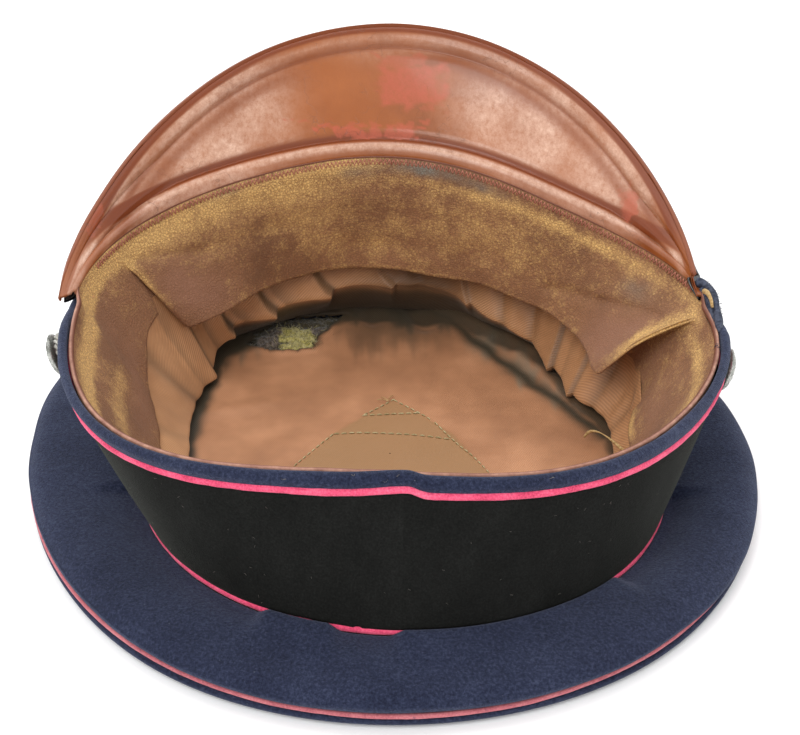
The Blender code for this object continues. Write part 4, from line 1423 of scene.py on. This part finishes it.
def makeSideLining():
    steps, rows = liner["sideMesh"]
    grid, paintedShade = [], []
    for k in range(steps):
        degrees = 360.0 * k / steps
        turn = math.radians(degrees)
        startReach, startZ = readPair(liner["start"], degrees)
        rollReach, rollZ = readPair(liner["roll"], degrees)
        outReach = min(rollReach + 26.0 * mm, jointLine(turn)[0] + 6.0 * mm)
        profile = [
            (startReach + 1.5 * mm, startZ + 3.4 * mm),
            (startReach, startZ),
            (mix(startReach, rollReach, 0.34) + 1.0 * mm, mix(startZ, rollZ, 0.40)),
            (mix(startReach, rollReach, 0.78) + 0.8 * mm, mix(startZ, rollZ, 0.80)),
            (rollReach, rollZ - 0.3 * mm),
            (rollReach + 0.5 * mm, rollZ - 1.9 * mm),
            (rollReach + 3.4 * mm, mix(rollZ, 4.6 * mm, 0.55)),
            (mix(rollReach, outReach, 0.6), 4.7 * mm),
            (outReach, 4.4 * mm),
        ]
        line, stainAndShade = [], []
        for i, (reach, z) in enumerate(curveThrough(profile, rows)):
            v = i / (rows - 1)
            if z > liner["wallFrom"]:
                reach = min(reach, insideBand(turn, z) - liner["wallGap"])
            hang = smooth(0.08, 0.34, v) * smooth(0.82, 0.60, v)
            fold = pleatDepth(degrees, min(1.0, v / 0.5))
            point = inSpace(turn, reach + fold * mm * hang, z + 0.45 * fold * mm * hang)
            soft = 0.6 * rough(point, 12 * mm, 3.0) + 0.15 * rough(point, 3 * mm, 5.0)
            soft += 0.45 * rough((degrees / 2.6, v * 1.3, 0.0), 1.0, 4.0) * smooth(0.55, 0.25, v)
            point += inSpace(turn, hang * mm * soft, 0.0)
            point.z = max(point.z, liner["lowest"])
            line.append(point)
            # painted shade under the roll, at the middle of the front and in the creases, and darker
            # towards the right front
            dirtAndShade = (
                0.9 * smooth(0.56, 0.70, v),
                0.66 * bump(degreesApart(degrees, 172.0), 0.0, 14.0) * smooth(0.06, 0.3, v),
                0.34 * bump(degreesApart(degrees, 152.0), 0.0, 14.0) * smooth(0.50, 0.20, v),
                0.92 * creaseShade(degrees, min(1.0, v / 0.5)) * smooth(0.02, 0.15, v),
            )
            stainAndShade.append(min(1.0, max(dirtAndShade)))
        grid.append(line)
        paintedShade.append(stainAndShade)
    piece = gridPiece("sideLining", grid, lining, ("lining_side",), masks={"stainAndShade": paintedShade})
    return thicken(piece, liner["thickness"])


diamond = {
    # marker stitching on the crown lining, in mm: corner points of the patch, then the stitched lines
    "outline": ((2.0, 37.0), (10.5, 29.0), (21.0, 17.0), (26.0, 5.0), (31.0, -6.0), (33.0, -30.0),
                (-33.0, -30.0), (-31.0, -3.0), (-18.0, 17.5), (-8.0, 28.0)),
    "lines": (
        ((2.5, 38.0), (-4.0, 32.0), (-8.5, 28.2)),
        ((-8.5, 28.2), (10.5, 29.3)),
        ((2.0, 37.5), (10.5, 29.3), (15.0, 24.0)),
        ((-18.0, 17.2), (-8.0, 17.8), (8.0, 16.6), (21.5, 13.6)),
        ((-18.0, 17.2), (-25.0, 7.0), (-31.5, -3.0), (-36.0, -16.0)),
        ((15.0, 24.0), (22.0, 11.0), (26.5, 4.0), (31.0, -5.0), (36.0, -18.0)),
    ),
    "stitch": 1.9 * mm, "gap": 0.45 * mm, "radius": 0.20 * mm,
    "colours": ((0.30, 0.25, 0.12), (0.52, 0.45, 0.26)),
}

tear = {
    # hole in the crown lining at the front left, in mm
    "outline": ((-46.0, 72.0), (-44.0, 80.0), (-40.0, 82.0), (-37.0, 87.5), (-29.0, 89.5), (-22.0, 90.0),
                (-14.0, 91.0), (-15.0, 88.0), (-19.0, 82.0), (-22.5, 78.0), (-23.5, 70.5), (-31.0, 69.0),
                (-38.0, 69.0)),
}


def insideOutline(outline, x, y):
    inside = False
    for (x0, y0), (x1, y1) in zip(outline, outline[1:] + outline[:1]):
        if (y0 > y) != (y1 > y) and x < (x1 - x0) * (y - y0) / (y1 - y0) + x0:
            inside = not inside
    return inside


def toOutline(outline, x, y):
    # distance to the outline, below zero inside it
    away = toLine(outline + outline[:1], x, y)
    return -away if insideOutline(outline, x, y) else away


def discHeight(x, y):
    # x and y in mm; height of the crown lining in metres
    z = liner["discLevel"]
    here = (x * mm, y * mm, 0.0)
    z += 0.35 * mm * rough(here, 30 * mm, 4.0) + 0.12 * mm * rough(here, 10 * mm, 6.0)
    front = smooth(62.0, 92.0, y)
    z += 0.9 * mm * front * rough((x * mm, 0.35 * y * mm, 0.0), 7 * mm, 2.0)
    for x0, y0, x1, y1, width, height in liner["discFolds"]:
        z += height * mm * math.exp(-(toStretch(x, y, x0, y0, x1, y1) / width) ** 2)
    patch = toOutline(diamond["outline"], x, y)
    z += 0.18 * mm * smooth(0.6, -0.6, patch)
    hole = toOutline(tear["outline"], x, y)
    z += 0.7 * mm * math.exp(-((hole - 0.6) / 1.6) ** 2)
    return z


crownShadeSheenAndStains = {
    # painted shade, with some real stain at the front, on the crown lining, in mm: (x, y, half width, half
    # depth, strength)
    "dark": ((-9.0, 99.0, 10.0, 13.0, 0.98), (4.0, 97.0, 13.0, 15.0, 0.97), (20.0, 97.0, 8.0, 12.0, 0.88),
             (33.0, 94.0, 5.0, 5.0, 0.75), (1.0, 83.0, 17.0, 11.0, 0.62), (-28.0, 100.0, 16.0, 9.0, 0.85),
             (-50.0, 77.0, 7.0, 9.0, 0.75), (-57.0, 66.0, 5.0, 9.0, 0.9)),
    # painted grey-green sheen of the satin, and a grey-brown patch by the tear: (x, y, half width, half
    # depth, strength)
    "sheenAndGreyPatch": ((36.0, 74.0, 6.0, 8.0, 0.9), (46.0, 60.0, 6.0, 8.0, 0.8), (12.0, 94.0, 12.0, 7.0, 0.5),
              (55.0, 44.0, 4.0, 7.0, 0.6), (-47.0, 77.0, 5.0, 8.0, 0.7)),
    # painted shade along the crease on the right: points, then its half width
    "crease": ((16.0, 97.0), (22.0, 90.0), (29.5, 76.7), (41.0, 59.2), (54.9, 39.1), (63.9, 24.5),
               (68.5, 16.0)),
    "creaseWidth": 3.1,
    # painted shadow where the side lining meets it: (turn, mm wide, strength)
    "rim": ((0.0, 2.0, 0.3), (60.0, 3.0, 0.4), (100.0, 3.5, 0.85), (145.0, 4.5, 0.85), (165.0, 5.5, 0.92),
            (200.0, 6.0, 0.95), (235.0, 5.5, 0.98), (270.0, 4.5, 0.95), (310.0, 2.5, 0.5)),
}


def placesAt(table, x, y):
    total = 0.0
    for px, py, wide, deep, strength in table:
        away = ((x - px) / wide) ** 2 + ((y - py) / deep) ** 2
        if away < 5.0:
            total = max(total, strength * math.exp(-away ** 1.5 * 0.7))
    return total


def makeCrownLining():
    steps, rows = liner["crownMesh"]
    grid = []
    masks = {"stainAndShade": [], "patch": [], "sheenAndGreyPatch": []}
    holes = set()
    for k in range(steps):
        turn = tau * k / steps
        sideways, onward = math.sin(turn) / liner["discHalfWide"], math.cos(turn) / liner["discHalfLong"]
        outR = 1.0 / math.hypot(sideways, onward)
        line, stainAndShade, patch, sheenAndGreyPatch = [], [], [], []
        for i in range(rows):
            share = (i / (rows - 1)) ** 0.85
            r = max(0.25 * mm, outR * share)
            x, y = r * math.sin(turn) / mm, (-r * math.cos(turn) + liner["discForward"]) / mm
            z = discHeight(x, y) * (1.0 - 0.15 * smooth(0.85, 1.0, share))
            line.append(Vector((x * mm, y * mm, z)))
            ragged = toOutline(tear["outline"], x, y)
            ragged += 1.2 * rough((x, y, 0.0), 3.0, 5.0)
            ragged += 0.6 * rough((x, y, 0.0), 1.2, 7.0)
            if ragged < 0.0:
                holes.add((k, i))
            streak = rough((x, 0.10 * y, 0.0), 4.0, 3.0) + 0.5 * rough((x, 0.10 * y, 0.0), 1.7, 5.0)
            sx = x + 2.0 * rough((x, y, 0.0), 8.0, 2.0)
            sy = y + 13.0 * streak + 1.5 * rough((x, y, 0.0), 4.0, 6.0)
            # darker towards the torn edge, then painted shade with some real stain from the table, and
            # painted shade along the crease
            nearTear = 0.75 * smooth(1.8, 0.1, ragged) if ragged > 0.0 else 1.0
            dark = max(nearTear, placesAt(crownShadeSheenAndStains["dark"], sx, sy))
            crease = toLine(crownShadeSheenAndStains["crease"], sx, y) / crownShadeSheenAndStains["creaseWidth"]
            dark = max(dark, 0.96 * math.exp(-crease * crease))
            place = math.degrees(math.atan2(x, -y)) % 360.0
            # painted shadow where the side lining meets it
            gap = readPair(liner["roll"], place)[0] / mm - math.hypot(x, y)
            wide = readTable([(t, w) for t, w, _ in crownShadeSheenAndStains["rim"]], place, 360.0)
            deep = readTable([(t, s) for t, _, s in crownShadeSheenAndStains["rim"]], place, 360.0)
            dark = max(dark, deep * smooth(wide, 0.15 * wide, gap + 1.2 * rough((x, y, 0.0), 5.0, 9.0)))
            stainAndShade.append(min(1.0, dark))
            # painted satin sheen and the real grey patch
            sheenAndGreyPatch.append(min(1.0, placesAt(crownShadeSheenAndStains["sheenAndGreyPatch"], sx, sy) * (1.0 + 0.6 * streak)))
            patch.append(0.9 * smooth(0.5, -0.5, toOutline(diamond["outline"], x, y)))
        grid.append(line)
        masks["stainAndShade"].append(stainAndShade)
        masks["patch"].append(patch)
        masks["sheenAndGreyPatch"].append(sheenAndGreyPatch)
    piece = gridPiece("crownLining", grid, crownSatin, ("lining_top",), flip=True,
                      masks=masks, skip=lambda k, i: (k, i) in holes)
    # its twill runs straight across the disc
    for loop, spot in zip(piece.data.loops, piece.data.uv_layers["cloth"].data):
        spot.uv = piece.data.vertices[loop.vertex_index].co.xy
    return piece


makeSideLining()
makeCrownLining()
print("lining is made")


# threads

def makeThread(name, colours):
    finish, tree, shader, where = newFinish(name, {"Roughness": 0.75, "Specular IOR Level": 0.3})
    tone = noiseOf(tree, 900.0, where, 2.0)
    feed(tree, shader, rampOf(tree, tone, ((0.35, colours[0]), (0.65, colours[1]))))
    dent(tree, shader, noiseOf(tree, 5200.0, where, 2.0), 0.05 * mm, 0.6)
    return finish


def makeDiamondStitches():
    finish = makeThread("faded lining thread", diamond["colours"])
    parts = [], [], []
    for line in diamond["lines"]:
        dense = curveThrough(line, 200)
        travelled = 0.0
        stitch = [dense[0]]
        laying = True
        for a, b in zip(dense, dense[1:]):
            travelled += (b - a).length * mm
            if laying:
                stitch.append(b)
                if travelled > diamond["stitch"]:
                    arch = []
                    for j in range(6):
                        p = stitch[round(j * (len(stitch) - 1) / 5)]
                        rise = (0.10 + 0.22 * math.sin(math.pi * j / 5)) * mm
                        arch.append(Vector((p.x * mm, p.y * mm, discHeight(p.x, p.y) + rise)))
                    tubeInto(*parts, arch, diamond["radius"], 6, taper=0.2)
                    laying, travelled = False, 0.0
            elif travelled > diamond["gap"]:
                laying, travelled, stitch = True, 0.0, [b]
    return tubePiece("diamondStitches", parts, finish)


zigzag = {
    "from": 104.0, "to": 250.0,
    "pitch": 1.38 * mm, "tall": 1.9 * mm, "below": 0.5 * mm, "radius": 0.15 * mm,
    "colours": ((0.30, 0.095, 0.060), (0.50, 0.200, 0.140)),
}


def makeZigzag():
    finish = makeThread("salmon seam thread", zigzag["colours"])
    line = []
    turn = math.radians(zigzag["from"])
    up = True
    while turn < math.radians(zigzag["to"]):
        degrees = math.degrees(turn)
        down = zigzag["below"] + (0.0 if up else zigzag["tall"])
        top, knee = leatherTop(degrees), leatherKnee(degrees, 5.0)
        along = (knee - top).normalized()
        line.append(top + along * down + inSpace(turn, -0.22 * mm, 0.16 * mm))
        turn += 0.5 * zigzag["pitch"] / mouthLine(turn)[0]
        up = not up
    parts = [], [], []
    for a, b in zip(line, line[1:]):
        tubeInto(*parts, [a, (a + b) / 2 + Vector((0, 0, 0.04 * mm)), b], zigzag["radius"], 5)
    return tubePiece("peakSeamStitches", parts, finish)


makeDiamondStitches()
makeZigzag()
print("stitches are sewn")


# torn place, frays and lint

stuffing = {
    # lumps of the filling in the torn place, in mm: (x, y, half width, half depth, height)
    "wadding": ((-33.0, 81.0, 4.5, 5.5, 1.5), (-27.0, 78.0, 4.0, 6.0, 1.7), (-30.0, 72.0, 5.5, 3.0, 1.2),
                (-24.5, 73.0, 2.5, 3.0, 1.0)),
    "fluff": ((-39.5, 75.0, 3.6, 5.0, 1.3), (-37.5, 81.0, 3.0, 3.0, 1.0), (-23.0, 82.0, 2.5, 4.0, 0.9),
              (-19.5, 83.0, 2.5, 3.0, 0.8)),
    "pits": ((-33.1, 79.9, 1.6, 1.4), (-33.0, 86.0, 3.5, 1.6), (-25.6, 87.0, 3.0, 1.5),
             (-21.5, 78.0, 1.8, 3.0), (-37.0, 72.0, 1.4, 1.4)),
    # the rectangle it fills: x from, x to, y from, y to
    "box": (-53.0, -11.0, 64.0, 94.0), "mesh": (170, 120), "level": 4.3, "lowest": 3.2,
}


def lumpAt(table, x, y):
    total = 0.0
    for px, py, wide, deep, tall in table:
        total = max(total, tall * math.exp(-((x - px) / wide) ** 4 - ((y - py) / deep) ** 4))
    return total


def stuffingHeight(x, y):
    z = stuffing["level"] + lumpAt(stuffing["wadding"], x, y) + lumpAt(stuffing["fluff"], x, y)
    z += 0.45 * rough((x, y, 0.0), 1.8, 3.0) + 0.35 * rough((x, y, 0.0), 0.8, 6.0)
    for px, py, wide, deep in stuffing["pits"]:
        z -= 1.2 * math.exp(-((x - px) / wide) ** 2 - ((y - py) / deep) ** 2)
    return max(stuffing["lowest"], z)


def makeStuffing():
    look = {"shadedGround": ((0.014, 0.013, 0.008), (0.100, 0.078, 0.042)),
            "wadding": ((0.115, 0.105, 0.022), (0.42, 0.36, 0.105), (0.68, 0.60, 0.27)),
            "fluff": ((0.026, 0.018, 0.012), (0.110, 0.080, 0.056), (0.32, 0.26, 0.22))}
    finish, tree, shader, where = newFinish("cotton stuffing", {
        "Roughness": 0.95, "Specular IOR Level": 0.1, "Sheen Weight": 0.3})
    strands = noiseOf(tree, 1300.0, where, 5.0, 0.8, (1.0, 0.4, 1.0))
    # the dark ground of the hole is painted shade, with dark brown spots
    shadedGround = rampOf(tree, strands, list(zip((0.35, 0.62), look["shadedGround"])))
    wad = rampOf(tree, strands, list(zip((0.36, 0.50, 0.66), look["wadding"])))
    fluff = rampOf(tree, strands, list(zip((0.36, 0.52, 0.70), look["fluff"])))
    colour = mixOf(tree, maskOf(tree, "fluff"), mixOf(tree, maskOf(tree, "wadding"), shadedGround, wad), fluff)
    feed(tree, shader, colour)
    dent(tree, shader, strands, 0.5 * mm, 0.9)
    x0, x1, y0, y1 = stuffing["box"]
    steps, rows = stuffing["mesh"]
    grid = []
    masks = {"wadding": [], "fluff": []}
    for k in range(steps):
        x = mix(x0, x1, k / (steps - 1))
        ys = [mix(y0, y1, i / (rows - 1)) for i in range(rows)]
        grid.append([Vector((x * mm, y * mm, stuffingHeight(x, y) * mm)) for y in ys])
        for key, seed in (("wadding", 4.0), ("fluff", 8.0)):
            lumps = [lumpAt(stuffing[key], x, y) + 0.3 * rough((x, y, 0.0), 1.5, seed) for y in ys]
            masks[key].append([smooth(0.25, 0.8, lump) for lump in lumps])
    cells = {(k, i) for k in range(steps - 1) for i in range(rows - 1)
             if toOutline(tear["outline"], grid[k][i].x / mm, grid[k][i].y / mm) > 2.6}
    return gridPiece("tornStuffing", grid, finish, (), around=False, masks=masks,
                     skip=lambda k, i: (k, i) in cells)


frays = {
    "seed": 7,
    # fibres standing on the stuffing: (its lumps, how many, shortest mm, longest mm)
    "wadding": ("wadding", 170, 1.2, 3.2), "fluff": ("fluff", 80, 1.0, 3.0), "fibre": 0.05 * mm,
    # lint on the velvet: how many, its radius
    "lint": 70, "lintRadius": 0.035 * mm,
    # small tufts by the rim: (turn, share down the band), then hairs in each and their radius
    "tufts": ((-8.4, -0.012), (-1.2, -0.02), (-20.0, 0.03), (24.0, 0.0), (-3.0, 0.02)),
    "tuftHairs": 5, "tuftRadius": 0.06 * mm,
    # places in mm: the curled raw edge by the right wall, and loose ends over the stitched marker
    "curl": ((62.7, 11.8, 8.0), (64.5, 11.9, 10.0), (66.8, 9.4, 11.5), (68.9, 5.5, 12.5),
             (71.3, -2.1, 14.5), (73.2, -9.7, 16.5)),
    "ends": (
        ((-2.0, 38.8, 6.3), (-0.6, 37.2, 6.7), (0.4, 36.2, 6.4)),
        ((2.0, 39.6, 6.4), (0.9, 37.8, 6.8), (0.2, 36.4, 6.4)),
        ((-3.4, 37.0, 6.3), (-1.2, 36.6, 6.7), (0.3, 36.0, 6.3)),
    ),
    # the worn corner by the peak's right end: a cream tooth, a roll of cloth and a smaller roll below
    "tooth": ((98.7, 18.6, 58.4), (99.3, 16.0, 59.2), (99.9, 13.0, 58.8), (100.1, 10.0, 57.6)),
    "roll": ((96.6, 25.0, 58.0), (98.6, 23.6, 58.3), (100.4, 20.8, 58.0), (101.4, 16.5, 57.2),
             (101.7, 11.0, 56.4), (101.6, 5.0, 55.8), (101.0, -1.0, 55.2)),
    "under": ((98.3, 23.0, 56.9), (99.5, 20.0, 56.4), (100.1, 15.5, 55.7), (100.3, 11.0, 55.1),
              (100.2, 5.0, 54.6)),
    "rollHairs": 110, "rollHair": 0.07 * mm, "seamHairs": 30, "seamHair": 0.08 * mm,
    # colours of the threads, darker and paler
    "yellow": ((0.38, 0.33, 0.12), (0.66, 0.60, 0.36)),
    "grey": ((0.070, 0.058, 0.048), (0.220, 0.195, 0.175)),
    "cream": ((0.30, 0.175, 0.060), (0.54, 0.38, 0.18)),
    "dark": ((0.014, 0.018, 0.034), (0.060, 0.070, 0.105)),
}


def between(chance, *spans):
    # a random vector, each part of it between two limits
    return Vector([chance.uniform(low, high) for low, high in spans])


def smoothLine(places, count):
    return curveThrough([Vector(p) * mm for p in places], count)


def hair(parts, start, way, length, radius, chance, curl=0.5):
    # one loose fibre, bending as it goes
    way = way.normalized()
    line = [Vector(start)]
    turn = between(chance, (-1, 1), (-1, 1), (-0.6, 1.0)) * curl
    for _ in range(4):
        way = (way + turn * 0.5).normalized()
        line.append(line[-1] + way * length / 4)
    tubeInto(*parts, line, radius, 3)


def fibresOn(parts, chance, lumps, count, shortest, longest):
    for _ in range(count):
        px, py, wide, deep, _ = chance.choice(stuffing[lumps])
        x, y = px + chance.gauss(0, 0.6) * wide, py + chance.gauss(0, 0.6) * deep
        start = Vector((x * mm, y * mm, stuffingHeight(x, y) * mm))
        way = Vector((*between(chance, (-1, 1), (-1, 1)), 0.35))
        hair(parts, start, way, chance.uniform(shortest, longest) * mm, frays["fibre"], chance)


def makeLint(chance):
    parts = [], [], []
    fibresOn(parts, chance, *frays["fluff"])
    for _ in range(frays["lint"]):
        turn, share = chance.uniform(-1.4, 1.4), chance.uniform(0.16, 0.96)
        start = inSpace(turn, *onBand(turn, share, 0.75 * mm))
        way = inSpace(turn + 0.5 * math.pi, 1.0, 0.0) * chance.uniform(-1, 1)
        way += Vector((0, 0, chance.uniform(-1, 1)))
        hair(parts, start, way, chance.uniform(0.3, 1.0) * mm, frays["lintRadius"], chance, 0.25)
    for degrees, share in frays["tufts"]:
        turn = math.radians(degrees)
        start = inSpace(turn, *onBand(turn, share, 0.5 * mm))
        for _ in range(frays["tuftHairs"]):
            way = inSpace(turn + chance.uniform(-2, 2), 1.0, 0.6)
            hair(parts, start, way, chance.uniform(0.5, 1.1) * mm, frays["tuftRadius"], chance)
    tubePiece("looseLint", parts, makeThread("grey lint", frays["grey"]))


def makeCreamFrays():
    parts = [], [], []
    tubeInto(*parts, smoothLine(frays["curl"], 30), lambda f: (0.36 + 0.16 * math.sin(9 * f)) * mm, 7)
    for places in frays["ends"]:
        tubeInto(*parts, smoothLine(places, 8), 0.13 * mm, 5)
    tubeInto(*parts, smoothLine(frays["tooth"], 14), lambda f: mix(0.95, 0.45, f) * mm, 8)
    tubePiece("creamFrays", parts, makeThread("frayed cream cloth", frays["cream"]))


def makeDarkFrays(chance):
    parts = [], [], []
    roll = smoothLine(frays["roll"], 40)
    tubeInto(*parts, roll, lambda f: (1.55 - 0.35 * f + 0.18 * math.sin(17.0 * f)) * mm, 10, taper=0.06)
    under = smoothLine(frays["under"], 30)
    tubeInto(*parts, under, lambda f: (1.35 + 0.10 * math.sin(13.0 * f)) * mm, 10, taper=0.06)
    for _ in range(frays["rollHairs"]):
        start = chance.choice(roll[4:30]) + between(chance, (0.4, 1.3), (-0.6, 0.6), (-0.6, 1.0)) * mm
        way = between(chance, (0.2, 1.0), (-1, 1), (-0.4, 0.8))
        hair(parts, start, way, chance.uniform(0.4, 1.1) * mm, frays["rollHair"], chance)
    for _ in range(frays["seamHairs"]):
        start = between(chance, (98.2, 99.6), (-11.0, -9.0), (54.0, 56.0)) * mm
        way = between(chance, (0.4, 1.0), (-1, 1), (-0.4, 0.6))
        hair(parts, start, way, chance.uniform(0.6, 1.4) * mm, frays["seamHair"], chance)
    tubePiece("darkFrays", parts, makeThread("frayed navy cloth", frays["dark"]))


def makeFrays():
    # the pieces share one row of random draws
    chance = random.Random(frays["seed"])
    parts = [], [], []
    fibresOn(parts, chance, *frays["wadding"])
    tubePiece("stuffingFibres", parts, makeThread("cotton fibres", frays["yellow"]))
    makeLint(chance)
    makeCreamFrays()
    makeDarkFrays(chance)


makeStuffing()
makeFrays()
print("torn place and frays are made")


# buttons and chin cord

# turns and shares down the band tell where a button sits
button = {
    "radius": 7.3 * mm, "dome": 3.2 * mm, "shank": 1.8 * mm, "pebbles": 0.16 * mm, "pebbleSize": 0.9 * mm,
    "right": 88.5, "rightShare": 0.26, "left": 268.5, "leftShare": 0.22, "leftLift": 2.6 * mm,
    # its turned rim, from the back to the foot of the dome: (mm forward, share of the radius)
    "rim": ((-0.1, 0.80), (0.05, 0.93), (0.35, 0.995), (0.75, 1.0), (1.0, 0.965), (0.95, 0.90),
            (1.25, 0.86)),
    "steps": 96, "domeRows": 14,
}
cord = {
    "halfTall": 1.7 * mm, "halfDeep": 1.3 * mm, "offBand": 0.6 * mm,
    "endTurn": 4.5, "frontShare": 0.25, "liftFrom": 0.9,
    "strands": 3, "twist": 5.2 * mm, "strand": 0.82 * mm, "steps": 1000,
    # the end loops: reach round the shank, how far their two strands wind, strand radius, windings
    "loopReach": 5.6 * mm, "loopWind": 0.62 * mm, "loopStrand": 0.66 * mm,
    "loopTwists": 9, "loopSteps": 160,
}


def bandFrame(turn, share):
    centre = inSpace(turn, *onBand(turn, share))
    outward = (inSpace(turn, *onBand(turn, share, 10 * mm)) - centre).normalized()
    upward = (inSpace(turn, *onBand(turn, share - 0.1)) - centre).normalized()
    return centre, outward, upward


def makeButtonMetal():
    look = {"deep": (0.13, 0.13, 0.11), "mid": (0.40, 0.41, 0.38), "pale": (0.62, 0.62, 0.58),
            "pits": (0.07, 0.07, 0.06)}
    finish, tree, shader, where = newFinish("pebbled button metal", {
        "Metallic": 0.85, "Specular IOR Level": 0.5})
    cells = put(tree, "TexVoronoi", {"Vector": where, "Scale": 1250.0},
                feature="DISTANCE_TO_EDGE").outputs["Distance"]
    tarnish = noiseOf(tree, 350.0, where, 4.0, 0.65)
    body = toneOf(tree, tarnish, look, (0.34, 0.50, 0.68))
    pits = fadeOf(tree, cells, 0.0, 0.14, 1.0, 0.0)
    feed(tree, shader, mixOf(tree, times(tree, pits, 0.6), body, look["pits"]))
    feed(tree, shader, fadeOf(tree, tarnish, 0.35, 0.65, 0.52, 0.30), "Roughness")
    dent(tree, shader, cells, 0.35 * mm, 0.8)
    return finish


def makeButton(name, node, turnDegrees, share, lift, finish):
    centre, outward, upward = bandFrame(math.radians(turnDegrees), share)
    side = outward.cross(upward)
    back = 2.0 * cord["halfDeep"] + 0.75 * mm + lift
    radius, dome = button["radius"], button["dome"]
    profile = [(0.1 * mm, button["shank"]), (back - 0.2 * mm, button["shank"])]
    profile += [(back + forward * mm, part * radius) for forward, part in button["rim"]]
    foot, width = profile[-1]
    pebbledFrom = len(profile) - 1
    domeRise = dome - button["rim"][-1][0] * mm
    for k in range(1, button["domeRows"] + 1):
        a = 0.5 * math.pi * k / button["domeRows"]
        profile.append((foot + domeRise * math.sin(a), max(0.02 * mm, width * math.cos(a))))
    steps = button["steps"]
    grid = []
    for k in range(steps):
        a = tau * k / steps
        ray = upward * math.cos(a) + side * math.sin(a)
        line = []
        for i, (off, r) in enumerate(profile):
            point = centre + outward * off + ray * r
            if i > pebbledFrom:
                pebble = noise.cell(Vector(point) / button["pebbleSize"]) * 0.5
                pebble += rough(point, 0.8 * mm, 3.0)
                point += outward * button["pebbles"] * pebble * smooth(0.0, 0.25, r / radius)
            line.append(point)
        grid.append(line)
    return gridPiece(name, grid, finish, (node,))


def makeCordFinish():
    look = {"deep": (0.30, 0.285, 0.24), "mid": (0.58, 0.57, 0.52), "pale": (0.72, 0.71, 0.66),
            "between": (0.16, 0.15, 0.12), "thread": 0.42 * mm}
    finish, tree, shader, where = newFinish("silver thread", {
        "Metallic": 0.55, "Roughness": 0.42, "Specular IOR Level": 0.5})
    uv = put(tree, "UVMap", uv_map="cloth").outputs["UV"]
    wound = put(tree, "TexWave", {"Vector": uv, "Scale": waveScale / look["thread"],
                                  "Distortion": 0.3}).outputs["Fac"]
    tone = noiseOf(tree, 300.0, where, 3.0, 0.6)
    body = toneOf(tree, tone, look, (0.3, 0.55, 0.75))
    feed(tree, shader, mixOf(tree, times(tree, minus(tree, 1.0, wound), 0.55), body, look["between"]))
    dent(tree, shader, wound, 0.10 * mm, 0.8)
    return finish


def makeChinCord(finish):
    start, end = button["right"] + cord["endTurn"], button["left"] - cord["endTurn"]
    steps = cord["steps"]
    centres = []
    for k in range(steps + 1):
        part = k / steps
        turn = math.radians(mix(start, end, part))
        ease = math.sqrt(max(0.0, math.sin(math.pi * part)))
        share = mix(mix(button["rightShare"], button["leftShare"], part), cord["frontShare"], ease)
        lift = button["leftLift"] * (max(0.0, part - cord["liftFrom"]) / (1.0 - cord["liftFrom"])) ** 2
        centre, outward, upward = bandFrame(turn, share)
        centres.append((centre + outward * (cord["halfDeep"] + cord["offBand"] + lift), outward, upward))
    parts = [], [], []
    for strand in range(cord["strands"]):
        travelled, line = 0.0, []
        for k, (centre, outward, upward) in enumerate(centres):
            if k:
                travelled += (centre - centres[k - 1][0]).length
            a = tau * (travelled / cord["twist"] + strand / cord["strands"])
            line.append(centre + outward * 0.52 * cord["halfDeep"] * math.cos(a)
                        + upward * 0.52 * cord["halfTall"] * math.sin(a))
        tubeInto(*parts, line, cord["strand"], 6)
    return tubePiece("chinCord", parts, finish, ("chin_cord",))


def makeCordLoops(finish):
    # the cord's end loops, wound round the shanks behind the buttons
    parts = [], [], []
    count, wind = cord["loopSteps"], cord["loopWind"]
    for turnDegrees, share, lift in ((button["right"], button["rightShare"], 0.0),
                                     (button["left"], button["leftShare"], button["leftLift"])):
        centre, outward, upward = bandFrame(math.radians(turnDegrees), share)
        side = outward.cross(upward)
        for strand in range(2):
            line = []
            for k in range(count):
                a = tau * k / count
                twist = tau * (cord["loopTwists"] * k / count + strand / 2)
                reach = cord["loopReach"] + wind * math.cos(twist)
                off = cord["halfDeep"] + cord["offBand"] + 0.8 * lift + wind * math.sin(twist)
                line.append(centre + outward * off + (upward * math.cos(a) + side * math.sin(a)) * reach)
            tubeInto(*parts, line, cord["loopStrand"], 7, closed=True)
    return tubePiece("cordLoops", parts, finish)


buttonMetal = makeButtonMetal()
makeButton("buttonRight", "button_right", button["right"], button["rightShare"], 0.0, buttonMetal)
makeButton("buttonLeft", "button_left", button["left"], button["leftShare"], button["leftLift"],
           buttonMetal)
silverCord = makeCordFinish()
makeChinCord(silverCord)
makeCordLoops(silverCord)
print("buttons and chin cord are made")
